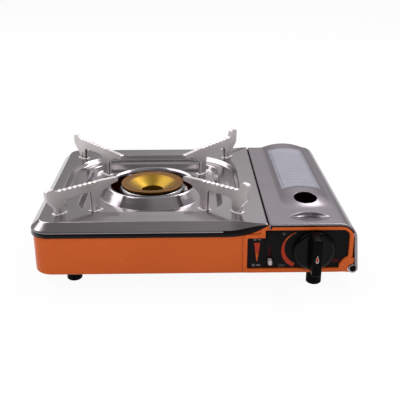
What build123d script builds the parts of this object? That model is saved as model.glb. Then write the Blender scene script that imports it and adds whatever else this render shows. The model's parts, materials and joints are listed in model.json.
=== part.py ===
from build123d import *
from math import cos, pi, radians, sin, sqrt, tan
import os

# Butane cassette stove, in millimetres.
# Everything is drawn in the case frame: X to the right, Y to the back, Z up from the table,
# with X = 0 and Y = 0 at the middle of the case. save() moves each piece so that the origin
# of the finished part is the bottom centre of its bounding box.

# ---- Case and top plate -----------------------------------------------------------------
CASE_WIDTH = 340.0          # from the top plate's left skirt to the cartridge bay's right end
CASE_DEPTH = 266.0          # over the front and back skirts
DECK = 72.0                 # upper plane of the top plate above the table
FOOT_HEIGHT = 14.0          # table to the underside of the case
SHEET = 0.8                 # pressed steel
PLATE = 1.2                 # brackets
GAP = 0.3                   # clearance between pieces that lie beside each other
SEAM = 79.0                 # right edge of the top plate
SEAM_GAP = 2.0              # slot between the top plate and the lid
CORNER = 21.0               # plan radius of the top plate's left corners
CASE_ROUND = 3.0            # pressed edge round the case bottom
BEVEL_OUT = 8.7
BEVEL_DOWN = 8.6
SKIRT = 4.6                 # upright skirt under the bevel
BEVEL_FADE = 36.0           # length over which the bevel runs out beside the seam
SKIRT_RISE = 11.4           # how far the skirt's lower edge climbs towards the seam
RIM_FLANGE = 6.0            # turned-down edge along the seam

# ---- Drip basin and burner opening --------------------------------------------------------
BURNER_X = -46.0
BURNER_Y = -5.0
BASIN_HALF = 105.0          # the basin is a square with large corners
BASIN_CORNER = 70.0
BASIN_SLOPE = 12.0
TERRACE_DROP = 4.8          # deck to terrace
STEP_HALF = 82.0            # inner edge of the terrace
STEP_CORNER = 29.0
STEP_RUN = 6.5
BASIN_DROP = 11.0           # deck to basin floor
OPENING_R = 50.5
RING_WIDTH = 11.0           # opening to the foot of the raised ring
RING_HEIGHT = 11.6          # crown of the ring above the basin floor
RING_TURN = 3.4             # turned-down inner edge of the ring

# ---- Cartridge bay --------------------------------------------------------------------------
AXIS_X = 129.0              # cartridge, regulator and knob share this axis
AXIS_Z = 42.2
CARTRIDGE_R = 33.25
CARTRIDGE_LENGTH = 188.0
CARTRIDGE_FRONT = -85.0     # where its collar meets the inlet
TROUGH_DROP = 7.5           # case bottom to the underside of the trough
TROUGH_SIDE = 2.2           # room beside the cartridge
RIB_OFFSET = 22.0           # cradle ribs beside the cartridge axis
RIB = 1.2

# ---- Lid and hinge ----------------------------------------------------------------------------
LID_BEND = 18.0             # outer radius of the lid's right bend
LID_SIDE = 4.5              # lid beyond the case's right end, at the bend
LID_ROOM = 1.0              # lid's inner face to the case under it
PIN_X = 172.3
PIN_Z = 19.8
PIN_R = 3.2
PIN_FIT = 0.05
ROLL_R = 5.3                # rolled hinge edge
HINGE_RELIEF = 11.0         # hollow in the case round the hinge
KNUCKLE_LENGTH = 20.0
KNUCKLE_Y = 82.0
HUMP_HALF = 28.0
HUMP_HEIGHT = 5.9
HUMP_START = 71.0           # front of the case to the full height of the hump
HUMP_FADE = 34.0            # length over which the hump runs out in front of that
LID_HOLE_R = 13.2
LID_HOLE_Y = -68.0
SCOOP_HALF_WIDTH = 23.5
SCOOP_HALF_LENGTH = 13.5
SCOOP_DEPTH = 3.0
SCOOP_Y = -114.5
LIP = 3.2                   # turned edges at the lid's front and back
LABEL_WIDTH = 46.0
LABEL_LENGTH = 149.0
LABEL_Y = 36.5
LABEL_THICKNESS = 0.3

# ---- Control panel ------------------------------------------------------------------------------
PANEL_LEFT = 58.9
PANEL_RIGHT = 166.3
PANEL_BOTTOM = 20.4
PANEL_TOP = 65.0
PANEL_STEP_WIDTH = 18.6     # lower part at the panel's left
PANEL_STEP_DROP = 8.9
BEAD_WIDTH = 4.6
BEAD_HEIGHT = 1.0
PANEL_RECESS = 0.4
PANEL_FLANGE = 2.6
PANEL_PLATE = 1.8
SLOT_X = 82.9               # upright slot of the locking lever
SLOT_WIDTH = 4.4
LEVER_TRAVEL = 15.0
LEVER_WIDTH = 8.0
LEVER_LENGTH = 22.0
LEVER_PLATE = 1.5
LEVER_TIP = 5.9             # height of the finger tip
LEVER_TIP_Z = 28.8          # its middle with the lever down
LEVER_REACH = 5.5           # tip in front of the case
LOCK_TRAVEL = 4.0           # cartridge clamp
LOCK_PIN_R = 1.5

# ---- Knob, valve stem and igniter ----------------------------------------------------------------
KNOB_R = 21.9
KNOB_DISC = 5.8
KNOB_REACH = 23.0           # in front of the case
GRIP_WIDTH = 10.8
STEM_R = 3.0
CAM_R = 9.0
CAM_OFFSET = 3.0
CAM_WIDTH = 5.0
IGNITER_R = 5.0
IGNITER_LENGTH = 17.0
PLUNGER_R = 2.2
PLUNGER_HEAD = 12.6         # plunger in front of the igniter with the knob at off

# ---- Regulator -----------------------------------------------------------------------------------
REGULATOR_R = 21.0
REGULATOR_BODY = 10.0
REGULATOR_CAP = 6.0
DIAPHRAGM = 0.6
NECK_R = 8.0
NECK = 7.4
BOSS_R = 12.0
BOSS = 10.0
INLET_R = 2.1
INLET_DEPTH = 5.0
GAS_PASSAGE_R = 0.6         # drilled beside the axis, into the end of the inlet
GAS_PASSAGE_OFF = 1.2
SEAL = 1.0

# ---- Pan supports --------------------------------------------------------------------------------
SUPPORT_OUTER = 135.2       # burner axis to the middle of the outer foot
SUPPORT_INNER = 86.8
SUPPORT_TIP = 55.0
SUPPORT_WIDTH = 5.0
SUPPORT_SHEET = 1.2
SUPPORT_FOOT_LENGTH = 14.6
SUPPORT_FOOT_WIDTH = 7.2
BEAM_TOP = 27.4             # top edge above the deck at the outer end
BEAM_SLOPE = 4.4            # lower than that at the tip
ARCH_TOP = 16.0
HORN_RIGHT = 37.0
HORN_LEFT = 30.8
TOOTH_PITCH = 6.7
TOOTH_COUNT = 8

# ---- Burner --------------------------------------------------------------------------------------
HEAD_R = 37.2
HEAD_RISE = 1.5               # rim above the deck
HEAD_RING_R = 33.5
HEAD_WALL = 2.0
HEAD_LIP = 9.0              # width of the level band round the dished top
HEAD_BORE = 13.0
HEAD_DEPTH = 10.0           # rim to the middle of the dished top
HEAD_SEAT = 4.2             # rim to the seat on the bowl
HEAD_SLOTS = 60
HEAD_SLOT = 1.6             # height of the flame slots
BOWL_R = 31.5
BOWL_HEIGHT = 32.5
SHOULDER_R = 38.0           # bright shoulder of the bowl round the head's seat
FLANGE_R = 44.0             # outer edge of the drip flange
FLANGE_DROP = 13.5          # how far the drip flange falls from the shoulder
TUBE_R = 8.0
TUBE_Z = 46.0
ELECTRODE_R = 40.2          # burner axis to the spark electrode
ELECTRODE_ANGLE = -10.0
ELECTRODE_DROP = 3.0        # head's rim to the spark wire's tip
WIRE_LENGTH = 30.5
SPARK_GAP = 1.0             # wire's tip to the head's rim
INSULATOR_LENGTH = 23.5
INSULATOR_R = 3.0
LEAD_R = 1.3
PIPE_R = 3.0
BELL_LENGTH = 7.0
BURNER_FOOT = 33.0          # burner axis to the screws of its bracket

# ---- Feet and fasteners --------------------------------------------------------------------------
FOOT_R = 8.2
FOOT_LEFT_X = -128.6
FOOT_RIGHT_X = 132.6
FOOT_LEFT_Y = 110.3
FOOT_RIGHT_Y = 124.4
FOOT_SEAT = 4.0             # screw head's seat inside a foot
SCREW_R = 1.5
SCREW_HEAD_R = 3.0
SCREW_HEAD = 2.0
SMALL_SCREW_R = 1.2
SMALL_HEAD_R = 1.8
SMALL_HEAD = 1.2
SCREW_ROOM = 0.1            # radial clearance of a screw in its hole
PARTITION_ROWS = (-90.0, -5.0, 100.0)
CATCH_Y = 46.0

# ---- Worked out from the values above ------------------------------------------------------------
LEFT = -CASE_WIDTH / 2
SIDE_Y = CASE_DEPTH / 2
WALL_LEFT = LEFT + SHEET + GAP
WALL_Y = SIDE_Y - SHEET - GAP                   # outer faces of the case's front and back walls
INNER_FRONT = -WALL_Y + SHEET
CASE_FLOOR = FOOT_HEIGHT + SHEET
BEVEL_LOW = DECK - BEVEL_DOWN
WALL_TOP = BEVEL_LOW - SHEET
SKIRT_LOW = BEVEL_LOW - SKIRT
TERRACE = DECK - TERRACE_DROP
FLOOR = DECK - BASIN_DROP
LID_LEFT = SEAM + SEAM_GAP
LID_RIGHT = CASE_WIDTH / 2 + LID_SIDE
LID_LINE = SHEET + LID_ROOM                     # lid's outer face to the case
LID_Y = WALL_Y + BEAD_HEIGHT + GAP + SHEET      # outer faces of the lid's front and back lips
EDGE_Y = WALL_Y - SHEET - PANEL_PLATE - 2       # ends of the turned-down edges beside the seam
LEAN = (PIN_X + ROLL_R - LID_RIGHT) / (DECK - LID_BEND - PIN_Z)
RELIEF_X = PIN_X - HINGE_RELIEF                 # right face of the case beside the hinge
TROUGH_LOW = FOOT_HEIGHT - TROUGH_DROP
TROUGH_LEFT = AXIS_X - CARTRIDGE_R - TROUGH_SIDE - SHEET
BOSS_END = CARTRIDGE_FRONT - SEAL
BODY_BACK = BOSS_END - BOSS                     # regulator body against its bracket
BODY_FRONT = BODY_BACK - REGULATOR_BODY
CAP_BACK = BODY_FRONT - DIAPHRAGM
CAP_FRONT = CAP_BACK - REGULATOR_CAP
NECK_FRONT = CAP_FRONT - NECK
BRACKET_BACK = BODY_BACK + PLATE
CLAMP_FRONT = BRACKET_BACK + 2
CLAMP_BACK = CLAMP_FRONT + PLATE
TROUGH_FRONT = CLAMP_FRONT
TROUGH_BACK = CARTRIDGE_FRONT + CARTRIDGE_LENGTH + 12
OUTLET_Y = BODY_FRONT + 3
PANEL_FACE = -WALL_Y + PANEL_RECESS
PANEL_BACK = INNER_FRONT + PANEL_PLATE
PANEL_STEP_X = PANEL_LEFT + PANEL_STEP_WIDTH
PANEL_STEP_Z = PANEL_TOP - PANEL_STEP_DROP
KNOB_BACK = -WALL_Y - BEAD_HEIGHT - 0.5
KNOB_FRONT = -SIDE_Y - KNOB_REACH
CAM_Y = NECK_FRONT - 1.3 - CAM_WIDTH / 2
IGNITER_END = AXIS_X - (CAM_R - CAM_OFFSET) - 0.4 - PLUNGER_HEAD
IGNITER_START = IGNITER_END - IGNITER_LENGTH
IGNITER_TAB = AXIS_Z + IGNITER_R + 5.8          # underside of the tab that carries it
IGNITER_PEGS = (IGNITER_START + 5, IGNITER_END - 5)
PARTITION_X = SEAM - SHEET - GAP                # right face of the partition
NOZZLE_END = PARTITION_X + 6
HEAD_TOP = DECK + HEAD_RISE
BOWL_TOP = HEAD_TOP - HEAD_SEAT - SHEET
BOWL_LOW = BOWL_TOP - BOWL_HEIGHT
SPARK_Z = HEAD_TOP - ELECTRODE_DROP
WIRE_LOW = SPARK_Z - WIRE_LENGTH
PIN_BACK = LID_Y + 0.2
LEVER_FRONT = PANEL_BACK + GAP
LEVER_BACK = LEVER_FRONT + LEVER_PLATE
LEVER_LOW = LEVER_TIP_Z - LEVER_TIP / 2 - 1.85
GUIDE_FOOT = PANEL_BACK + 1
GUIDE_TOP = LEVER_LOW + LEVER_LENGTH + LEVER_TRAVEL + GAP
LOCK_PIN_Y = LEVER_BACK + 6
LOCK_PIN_Z = LEVER_TIP_Z + 1.2
ARM_X = SLOT_X + LEVER_WIDTH / 2 + 2.6          # left face of the clamp's arm
CENTRE_X = (LEFT + PIN_X + ROLL_R) / 2
CENTRE_Y = (KNOB_FRONT + PIN_BACK) / 2


# ---- Helpers -------------------------------------------------------------------------------------
def outline(*corners):
    """Closed face through (u, v, corner radius) points."""
    points = [(u, v) for u, v, _ in corners]
    return make_face(FilletPolyline(*points, radius=[r for _, _, r in corners], close=True))


def rounded(x0, x1, y0, y1, left, right):
    """Rectangle with one radius at its left corners and another at its right corners."""
    return outline((x0, y0, left), (x1, y0, right), (x1, y1, right), (x0, y1, left))


def square(half, corner):
    return rounded(-half, half, -half, half, corner, corner)


def up(face, z0, z1):
    return extrude(Pos(0, 0, z0) * face, z1 - z0)


def along_y(face, y0, y1):
    """Face drawn in X and Z, made solid from y0 to y1."""
    return extrude(Plane.XZ.offset(-y1) * face, y1 - y0)


def along_x(face, x0, x1):
    """Face drawn in Y and Z, made solid from x0 to x1."""
    return extrude(Plane.YZ.offset(x0) * face, x1 - x0)


def block(x0, x1, y0, y1, z0, z1):
    middle = Pos((x0 + x1) / 2, (y0 + y1) / 2, (z0 + z1) / 2)
    return middle * Box(x1 - x0, y1 - y0, z1 - z0)


def rod(start, end, radius):
    way = Vector(*end) - Vector(*start)
    return extrude(Plane(origin=start, z_dir=way) * Circle(radius), way.length)


def rod_x(y, z, radius, x0, x1):
    return rod((x0, y, z), (x1, y, z), radius)


def rod_y(x, z, radius, y0, y1):
    return rod((x, y0, z), (x, y1, z), radius)


def rod_z(x, y, radius, z0, z1):
    return rod((x, y, z0), (x, y, z1), radius)


def turned(*points):
    """Solid turned about Z from (radius, height) points."""
    return revolve(Plane.XZ * make_face(Polyline(*points, close=True)), Axis.Z)


def frustum(low, low_z, high, high_z):
    return loft([Pos(0, 0, low_z) * low, Pos(0, 0, high_z) * high], ruled=True)


def swept(points, radii, radius):
    """Round bar along straight runs joined by arcs."""
    path = FilletPolyline(*points, radius=radii)
    start = Plane(origin=path @ 0, z_dir=path % 0)
    return sweep(start * Circle(radius), path=path)


def at_burner(solid):
    return Pos(BURNER_X, BURNER_Y, 0) * solid


def screw(seat, way, length, small=False):
    """Cheese-head screw: its head stands on the seat and its shank goes along way."""
    seat = Vector(*seat)
    way = Vector(*way)
    shank_r, head_r, head = (SCREW_R, SCREW_HEAD_R, SCREW_HEAD)
    if small:
        shank_r, head_r, head = (SMALL_SCREW_R, SMALL_HEAD_R, SMALL_HEAD)
    top = seat - way * head
    body = rod(top, seat, head_r) + rod(seat, seat + way * length, shank_r)
    return body - Plane(origin=top, z_dir=way) * Box(2 * head_r + 1, 0.8, head)


def holes(places, way, depth, small=False):
    """Clearance holes for screws, from depth before each seat to depth behind it."""
    radius = (SMALL_SCREW_R if small else SCREW_R) + SCREW_ROOM
    way = Vector(*way)
    return [rod(Vector(*p) - way * depth, Vector(*p) + way * depth, radius) for p in places]


def save(name, solid):
    export_step(Pos(-CENTRE_X, -CENTRE_Y, 0) * solid, f"parts/{name}.step")


# ---- Places of fasteners -------------------------------------------------------------------------
def foot_places():
    return {
        "front_left": (FOOT_LEFT_X, -FOOT_LEFT_Y),
        "front_right": (FOOT_RIGHT_X, -FOOT_RIGHT_Y),
        "back_left": (FOOT_LEFT_X, FOOT_LEFT_Y),
        "back_right": (FOOT_RIGHT_X, FOOT_RIGHT_Y),
    }


def base_screw_places():
    """Screws that come up through the case bottom into brackets, on its underside."""
    burner = [(BURNER_X - BURNER_FOOT, BURNER_Y), (BURNER_X + BURNER_FOOT, BURNER_Y)]
    regulator = [(AXIS_X - 27, BODY_BACK - 8), (AXIS_X + 20, BODY_BACK - 8)]
    wall = [(PARTITION_X - 8, y) for y in PARTITION_ROWS]
    return [(x, y, FOOT_HEIGHT) for x, y in burner + regulator + wall]


def foot_screw_places():
    return [(x, y, FOOT_SEAT) for x, y in foot_places().values()]


def burner_screw_places():
    return [(BURNER_X + side * 12, BURNER_Y, BOWL_LOW + SHEET) for side in (-1, 1)]


def plate_screw_places():
    return [(SEAM, y, DECK - SHEET - SMALL_HEAD_R - 0.9) for y in PARTITION_ROWS]


def catch_screw_place():
    return PARTITION_X + 0.6, CATCH_Y, DECK - 18


def panel_screw_places():
    left = SLOT_X - LEVER_WIDTH / 2 - GAP - 1 - 2.2
    low = LEVER_LOW + 8
    return [(left, GUIDE_FOOT, low), (left, GUIDE_FOOT, low + 16), (SLOT_X, GUIDE_FOOT, GUIDE_TOP + 3)]


def regulator_screw_places():
    reach = (REGULATOR_R - 3.5) * sin(radians(45))
    return [(AXIS_X + i * reach, CAP_FRONT, AXIS_Z + j * reach) for i in (-1, 1) for j in (-1, 1)]


def guide_pin_places():
    return [(AXIS_X - 30, AXIS_Z - 12), (AXIS_X + 20, AXIS_Z - 16)]


def hinge_screw_places():
    level = (TROUGH_LOW + PIN_Z - ROLL_R) / 2 + 0.5
    rows = [side * KNUCKLE_Y + offset for side in (-1, 1) for offset in (-5, 5)]
    return [(RELIEF_X + 2, y, level) for y in rows]


# ---- Case ----------------------------------------------------------------------------------------
def hinge_hollow(extra=0.0):
    """Room round the hinge: a cylinder along the pin and everything below it."""
    radius = HINGE_RELIEF + extra
    below = block(PIN_X - radius, LID_RIGHT + radius, -CASE_DEPTH, CASE_DEPTH, -1, PIN_Z)
    return rod_y(PIN_X, PIN_Z, radius, -CASE_DEPTH, CASE_DEPTH) + below


def case_body(inset, lift):
    """Tray as a solid: low and level under the top plate, rising to follow the lid at the right."""
    right = LID_RIGHT - LID_LINE - inset
    low = FOOT_HEIGHT + inset
    rise = SEAM - BEVEL_FADE * 0.8
    top = DECK - LID_LINE + lift
    wall = WALL_TOP + lift
    section = outline((WALL_LEFT + inset, low, 0), (right, low, 0), (right, top, LID_BEND - LID_LINE),
                      (SEAM, top, 0), (rise, wall, 0), (WALL_LEFT + inset, wall, 0))
    plan = rounded(WALL_LEFT + inset, right, -WALL_Y + inset, WALL_Y - inset,
                   CORNER - SHEET - GAP - inset, CASE_ROUND + SHEET - inset)
    tray = up(plan, low, 3 * DECK)
    tray = fillet(tray.edges().group_by(Axis.Z)[0], CASE_ROUND - inset)
    return tray & along_y(section, -CASE_DEPTH, CASE_DEPTH)


def panel_outline(grow):
    """Control panel opening in X and Z, larger all round by grow."""
    low = PANEL_BOTTOM - grow
    right = PANEL_RIGHT + grow
    step = PANEL_STEP_X - grow
    main = outline((step, low, 0), (right, low, 2), (right, PANEL_TOP + grow, 8 + grow), (step, PANEL_TOP + grow, 1))
    left = outline((PANEL_LEFT - grow, low, 2), (PANEL_STEP_X, low, 0),
                   (PANEL_STEP_X, PANEL_STEP_Z + grow, 0), (PANEL_LEFT - grow, PANEL_STEP_Z + grow, 2))
    return main + left - Pos(PIN_X, PIN_Z) * Circle(HINGE_RELIEF + BEAD_WIDTH - grow)


def trough(inset):
    return block(TROUGH_LEFT + inset, RELIEF_X - inset, TROUGH_FRONT + inset, TROUGH_BACK - inset,
                 TROUGH_LOW + inset, CASE_FLOOR + 2 * inset)


def base_case():
    case = case_body(0, 0) - hinge_hollow() - (case_body(SHEET, DECK) - hinge_hollow(SHEET))
    inner_right = LID_RIGHT - LID_LINE - SHEET
    case = case - block(inner_right - 0.1, LID_RIGHT, INNER_FRONT, -INNER_FRONT, DECK - LID_BEND, DECK)
    case = case + trough(0) - trough(SHEET)
    case = case - along_y(panel_outline(0), -WALL_Y - 5, INNER_FRONT + 1)
    bead = along_y(panel_outline(BEAD_WIDTH) - panel_outline(0), -WALL_Y - BEAD_HEIGHT, -WALL_Y + SHEET / 2)
    case = case + (bead - hinge_hollow() - skirt_room())
    notch = outline((FOOT_RIGHT_X - 12, PANEL_BOTTOM - 2.4, 1), (FOOT_RIGHT_X + 8, PANEL_BOTTOM - 2.4, 1),
                    (FOOT_RIGHT_X + 6, CASE_FLOOR, 0), (FOOT_RIGHT_X - 6, CASE_FLOOR, 0))
    case = case - along_y(notch, -WALL_Y - 5, INNER_FRONT + 0.01)
    case = case - holes(foot_screw_places() + base_screw_places(), (0, 0, 1), 2 * FOOT_HEIGHT)
    case = case - holes(hinge_screw_places(), (-1, 0, 0), 6)
    for row in (-1, 1):
        for n in range(-6, 7, 2):
            x = BURNER_X + 9 * n
            y = BURNER_Y + 66 * row
            case = case - block(x - 1.6, x + 1.6, y - 16, y + 16, FOOT_HEIGHT - 1, CASE_FLOOR + 1)
    return case


# ---- Top plate -----------------------------------------------------------------------------------
def plate_block(inset):
    """Top plate as a solid block, smaller by inset; the inset one runs on past its lower edge."""
    fade = SEAM - BEVEL_FADE
    left = LEFT + inset
    side = SIDE_Y - inset
    inner = side - BEVEL_OUT
    bottom = SKIRT_LOW - 2 * inset
    bevel = BEVEL_LOW - inset
    top = DECK - inset
    radius = CORNER - inset
    low = rounded(left, fade, -side, side, radius, 0)
    high = rounded(left + BEVEL_OUT, fade, -inner, inner, radius - BEVEL_OUT, 0)
    section = make_face(Polyline((-side, bottom), (-side, bevel), (-inner, top), (inner, top), (side, bevel),
                                 (side, bottom), close=True))
    square_section = make_face(Polyline((-side, bottom), (-side, top - 0.01), (-inner, top), (inner, top),
                                        (side, top - 0.01), (side, bottom), close=True))
    fading = loft([Plane.YZ.offset(fade) * section, Plane.YZ.offset(SEAM) * square_section], ruled=True)
    solid = up(low, bottom, bevel) + frustum(low, bevel, high, top) + fading
    if inset:
        solid = solid + along_x(square_section, SEAM - 0.001, SEAM + inset)
    return solid


def skirt_sweep():
    """Room under the skirt's lower edge, which climbs in a curve towards the seam."""
    start = SEAM - 43
    low = SKIRT_LOW
    edge = Spline((start, low), (SEAM - 22, low + SKIRT_RISE * 0.2), (SEAM - 12, low + SKIRT_RISE * 0.49),
                  (SEAM, low + SKIRT_RISE))
    rest = Polyline((SEAM, low + SKIRT_RISE), (SEAM + 3, low + SKIRT_RISE), (SEAM + 3, low - 5),
                    (start, low - 5), (start, low))
    face = make_face([edge, rest])
    return along_y(face, -SIDE_Y - 1, -SIDE_Y + 2) + along_y(face, SIDE_Y - 2, SIDE_Y + 1)


def skirt_room():
    """The skirt beside the seam, with its clearance."""
    beside = block(SEAM - 43, SEAM + GAP, -SIDE_Y - 1, -SIDE_Y + 2, SKIRT_LOW - GAP, DECK)
    return beside - Pos(0, 0, -GAP) * skirt_sweep()


def basin(inset):
    """Hollow of the drip basin, larger and lower by inset."""
    border = frustum(square(BASIN_HALF - BASIN_SLOPE + inset, BASIN_CORNER - BASIN_SLOPE + inset), TERRACE - inset,
                     square(BASIN_HALF + inset, BASIN_CORNER + inset), DECK - inset)
    inner = frustum(square(STEP_HALF - STEP_RUN + inset, STEP_CORNER - STEP_RUN + inset), FLOOR - inset,
                    square(STEP_HALF + inset, STEP_CORNER + inset), TERRACE - inset)
    return at_burner(border + inner + up(square(BASIN_HALF + inset, BASIN_CORNER + inset), DECK - inset, DECK + 1))


def ring():
    """Raised ring round the burner opening, as a turned sheet."""
    foot = OPENING_R + RING_WIDTH
    crown = OPENING_R + 3.2
    top = FLOOR + RING_HEIGHT
    outer = [(foot + 2, FLOOR), (foot, FLOOR), (foot - 3.2, FLOOR + 4.4), (crown + 1.8, top - 0.7),
             (crown, top), (crown - 2, top - 0.6), (OPENING_R, top - RING_TURN)]
    inner = [(OPENING_R + SHEET, top - RING_TURN), (crown - 1.4, top - 1.3 - SHEET / 2), (crown, top - SHEET),
             (crown + 1.2, top - 0.7 - SHEET), (foot - 3.2 - SHEET, FLOOR + 4.4 - SHEET / 2),
             (foot - SHEET / 2, FLOOR - SHEET), (foot + 2, FLOOR - SHEET)]
    return at_burner(turned(*(outer + inner)))


def support_feet():
    """Places of the eight support feet: (x, y, height of the surface under it)."""
    places = []
    for quarter in range(4):
        way = radians(45 + 90 * quarter)
        for reach, height in ((SUPPORT_OUTER, DECK), (SUPPORT_INNER, FLOOR)):
            places.append((BURNER_X + reach * cos(way), BURNER_Y + reach * sin(way), height))
    return places


def top_plate():
    plate = plate_block(0) - plate_block(SHEET)
    plate = plate + block(SEAM - SHEET, SEAM, -EDGE_Y, EDGE_Y, DECK - RIM_FLANGE, DECK - SHEET / 2)
    plate = plate - skirt_sweep()
    cup = basin(SHEET) & block(LEFT, SEAM, -SIDE_Y, SIDE_Y, FLOOR - SHEET, DECK)
    plate = plate + cup - basin(0)
    plate = plate - at_burner(up(Circle(OPENING_R + RING_WIDTH + 1), FLOOR - 5, FLOOR + 5)) + ring()
    plate = plate - holes(support_feet(), (0, 0, 1), 3)
    return plate - holes(plate_screw_places(), (1, 0, 0), 3, small=True)


# ---- Pan supports --------------------------------------------------------------------------------
def support_profile(horn):
    """Side view of a pan support: distance from the burner axis, height above the deck."""
    out = SUPPORT_OUTER
    inn = SUPPORT_INNER
    tip = SUPPORT_TIP
    low = BEAM_TOP - BEAM_SLOPE
    return outline(
        (out - 5, 0.2, 0), (out + 5, 0.2, 0), (out + 6, 8, 3), (out + 15.5, 19, 4), (out + 16.6, horn - 1, 3),
        (out + 6.8, horn, 3), (out + 3.6, BEAM_TOP, 2), (inn - 6, low + BEAM_SLOPE * 0.3, 6), (tip, low - 0.8, 1.5),
        (tip, ARCH_TOP + 1.4, 1.5), (inn - 20, ARCH_TOP, 6), (inn - 10.5, ARCH_TOP - 4.6, 6),
        (inn - 5, ARCH_TOP - 9.5, 4), (inn - 4.6, 0.2 - BASIN_DROP, 0), (inn + 4.6, 0.2 - BASIN_DROP, 0),
        (inn + 6, ARCH_TOP - 0.6, 5),
        (out - 6, ARCH_TOP, 4.5))


def pan_support(quarter, horn):
    """Folded sheet bridge: two cheeks under a toothed top edge, on two riveted feet."""
    profile = support_profile(horn)
    half = SUPPORT_WIDTH / 2
    slack = half - SUPPORT_SHEET
    hollow = Pos(0, 0, -2 * SUPPORT_SHEET) * along_y(profile, -slack, slack)
    body = along_y(profile, -half, half) - (hollow & block(0, SUPPORT_OUTER + 4, -half, half, -DECK, BEAM_TOP - 1))
    for tooth in range(TOOTH_COUNT):
        u = SUPPORT_INNER + 1 + TOOTH_PITCH * tooth
        top = BEAM_TOP - BEAM_SLOPE * (SUPPORT_OUTER - u) / (SUPPORT_OUTER - SUPPORT_TIP)
        body = body - rod_y(u, top + 1.1, 2.2, -half - 1, half + 1)
    for reach, height in ((SUPPORT_OUTER, 0.0), (SUPPORT_INNER, -BASIN_DROP)):
        body = body + block(reach - SUPPORT_FOOT_LENGTH / 2, reach + SUPPORT_FOOT_LENGTH / 2,
                            -SUPPORT_FOOT_WIDTH / 2, SUPPORT_FOOT_WIDTH / 2, height, height + SUPPORT_SHEET)
        body = body - block(reach - 1.4, reach + 1.4, -half - 1, half + 1, height + SUPPORT_SHEET, height + 8.5)
        body = body + rod_z(reach, 0, SCREW_R, height - SHEET - 1.2, height + SUPPORT_SHEET)
        body = body + rod_z(reach, 0, SCREW_HEAD_R, height - SHEET - 1.2, height - SHEET)
    return Pos(BURNER_X, BURNER_Y, DECK) * Rot(0, 0, 45 + 90 * quarter) * body


# ---- Burner --------------------------------------------------------------------------------------
def burner_head():
    """Dished head with flame slots round the underside of its rim."""
    seat = HEAD_TOP - HEAD_SEAT
    floor = HEAD_TOP - HEAD_DEPTH
    inner = HEAD_RING_R - HEAD_WALL
    lip = HEAD_R - HEAD_LIP
    head = turned((HEAD_RING_R, seat), (HEAD_R - 0.6, HEAD_TOP - 2.2), (HEAD_R, HEAD_TOP - 1.2), (HEAD_R - 0.5, HEAD_TOP),
                  (lip, HEAD_TOP - 0.8), (HEAD_BORE, floor), (HEAD_BORE, floor - 1.6),
                  (HEAD_BORE + 1.2, floor - HEAD_WALL), (lip, seat + HEAD_SLOT), (inner, seat + HEAD_SLOT),
                  (inner, seat))
    slot = block(inner - 1, HEAD_R + 1, -0.6, 0.6, seat - 1, seat + HEAD_SLOT)
    slots = [Rot(0, 0, 360 * n / HEAD_SLOTS) * slot for n in range(HEAD_SLOTS)]
    return at_burner(head - slots)


def tube_points():
    """Mixing tube's corners, from the partition to the side of the bowl, and its last direction."""
    start = Vector(PARTITION_X - SHEET - BELL_LENGTH, OUTLET_Y, TUBE_Z)
    bend = Vector(BURNER_X + 0.55 * (PARTITION_X - BURNER_X), OUTLET_Y, TUBE_Z)
    centre = Vector(BURNER_X, BURNER_Y, TUBE_Z)
    way = (bend - centre).normalized()
    return (start, bend, centre + way * (BOWL_R - TUBE_R)), way


def electrode_place():
    way = radians(ELECTRODE_ANGLE)
    return BURNER_X + ELECTRODE_R * cos(way), BURNER_Y + ELECTRODE_R * sin(way)


def burner_bowl():
    """Cup under the head, with a round shoulder that falls away into the drip flange."""
    bore = HEAD_RING_R - HEAD_WALL - 3
    edge = BOWL_TOP - FLANGE_DROP
    top = BOWL_TOP + SHEET
    bowl = at_burner(turned(
        (0, BOWL_LOW), (BOWL_R, BOWL_LOW), (BOWL_R, BOWL_TOP - 1.2), (SHOULDER_R - 1.6, BOWL_TOP - 1.2),
        (FLANGE_R - SHEET, edge), (FLANGE_R, edge + 0.3), (SHOULDER_R, BOWL_TOP - 0.6), (SHOULDER_R - 0.8, top - 0.2),
        (SHOULDER_R - 1.6, top), (bore, top), (bore, BOWL_TOP), (BOWL_R - SHEET, BOWL_TOP),
        (BOWL_R - SHEET, BOWL_LOW + SHEET), (0, BOWL_LOW + SHEET)))
    points, way = tube_points()
    bowl = bowl - rod(points[2], points[2] + way * BOWL_R, TUBE_R + 0.05)
    x, y = electrode_place()
    bowl = bowl - rod_z(x, y, INSULATOR_R + 0.2, BOWL_LOW, BOWL_TOP + 6)
    return bowl - holes(burner_screw_places(), (0, 0, 1), 3)


def mixing_tube():
    points, _ = tube_points()
    return swept(points, 40, TUBE_R) - swept(points, 40, TUBE_R - SHEET)


def venturi():
    """Bell over the jet at the tube's inlet, with four air windows, against the partition."""
    mouth = PARTITION_X - SHEET
    start = mouth - BELL_LENGTH
    bell_r = TUBE_R + 3
    bell = rod_x(OUTLET_Y, TUBE_Z, bell_r, start - 4, mouth)
    bell = bell - rod_x(OUTLET_Y, TUBE_Z, bell_r - SHEET, start + SHEET, mouth + 1)
    bell = bell - rod_x(OUTLET_Y, TUBE_Z, TUBE_R + 0.05, start - 5, mouth)
    window = block(-1.6, 1.6, -2.5, 2.5, 0, bell_r + 2)
    return bell - [Pos(start + BELL_LENGTH / 2, OUTLET_Y, TUBE_Z) * Rot(45 + 90 * n, 0, 0) * window for n in range(4)]


def gas_pipe():
    """From the regulator's left side towards the partition."""
    end = AXIS_X - REGULATOR_R + 1
    outer = rod_x(OUTLET_Y, TUBE_Z, PIPE_R, NOZZLE_END, end)
    return outer - rod_x(OUTLET_Y, TUBE_Z, PIPE_R - 1.2, NOZZLE_END - 1, end + 1)


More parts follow.
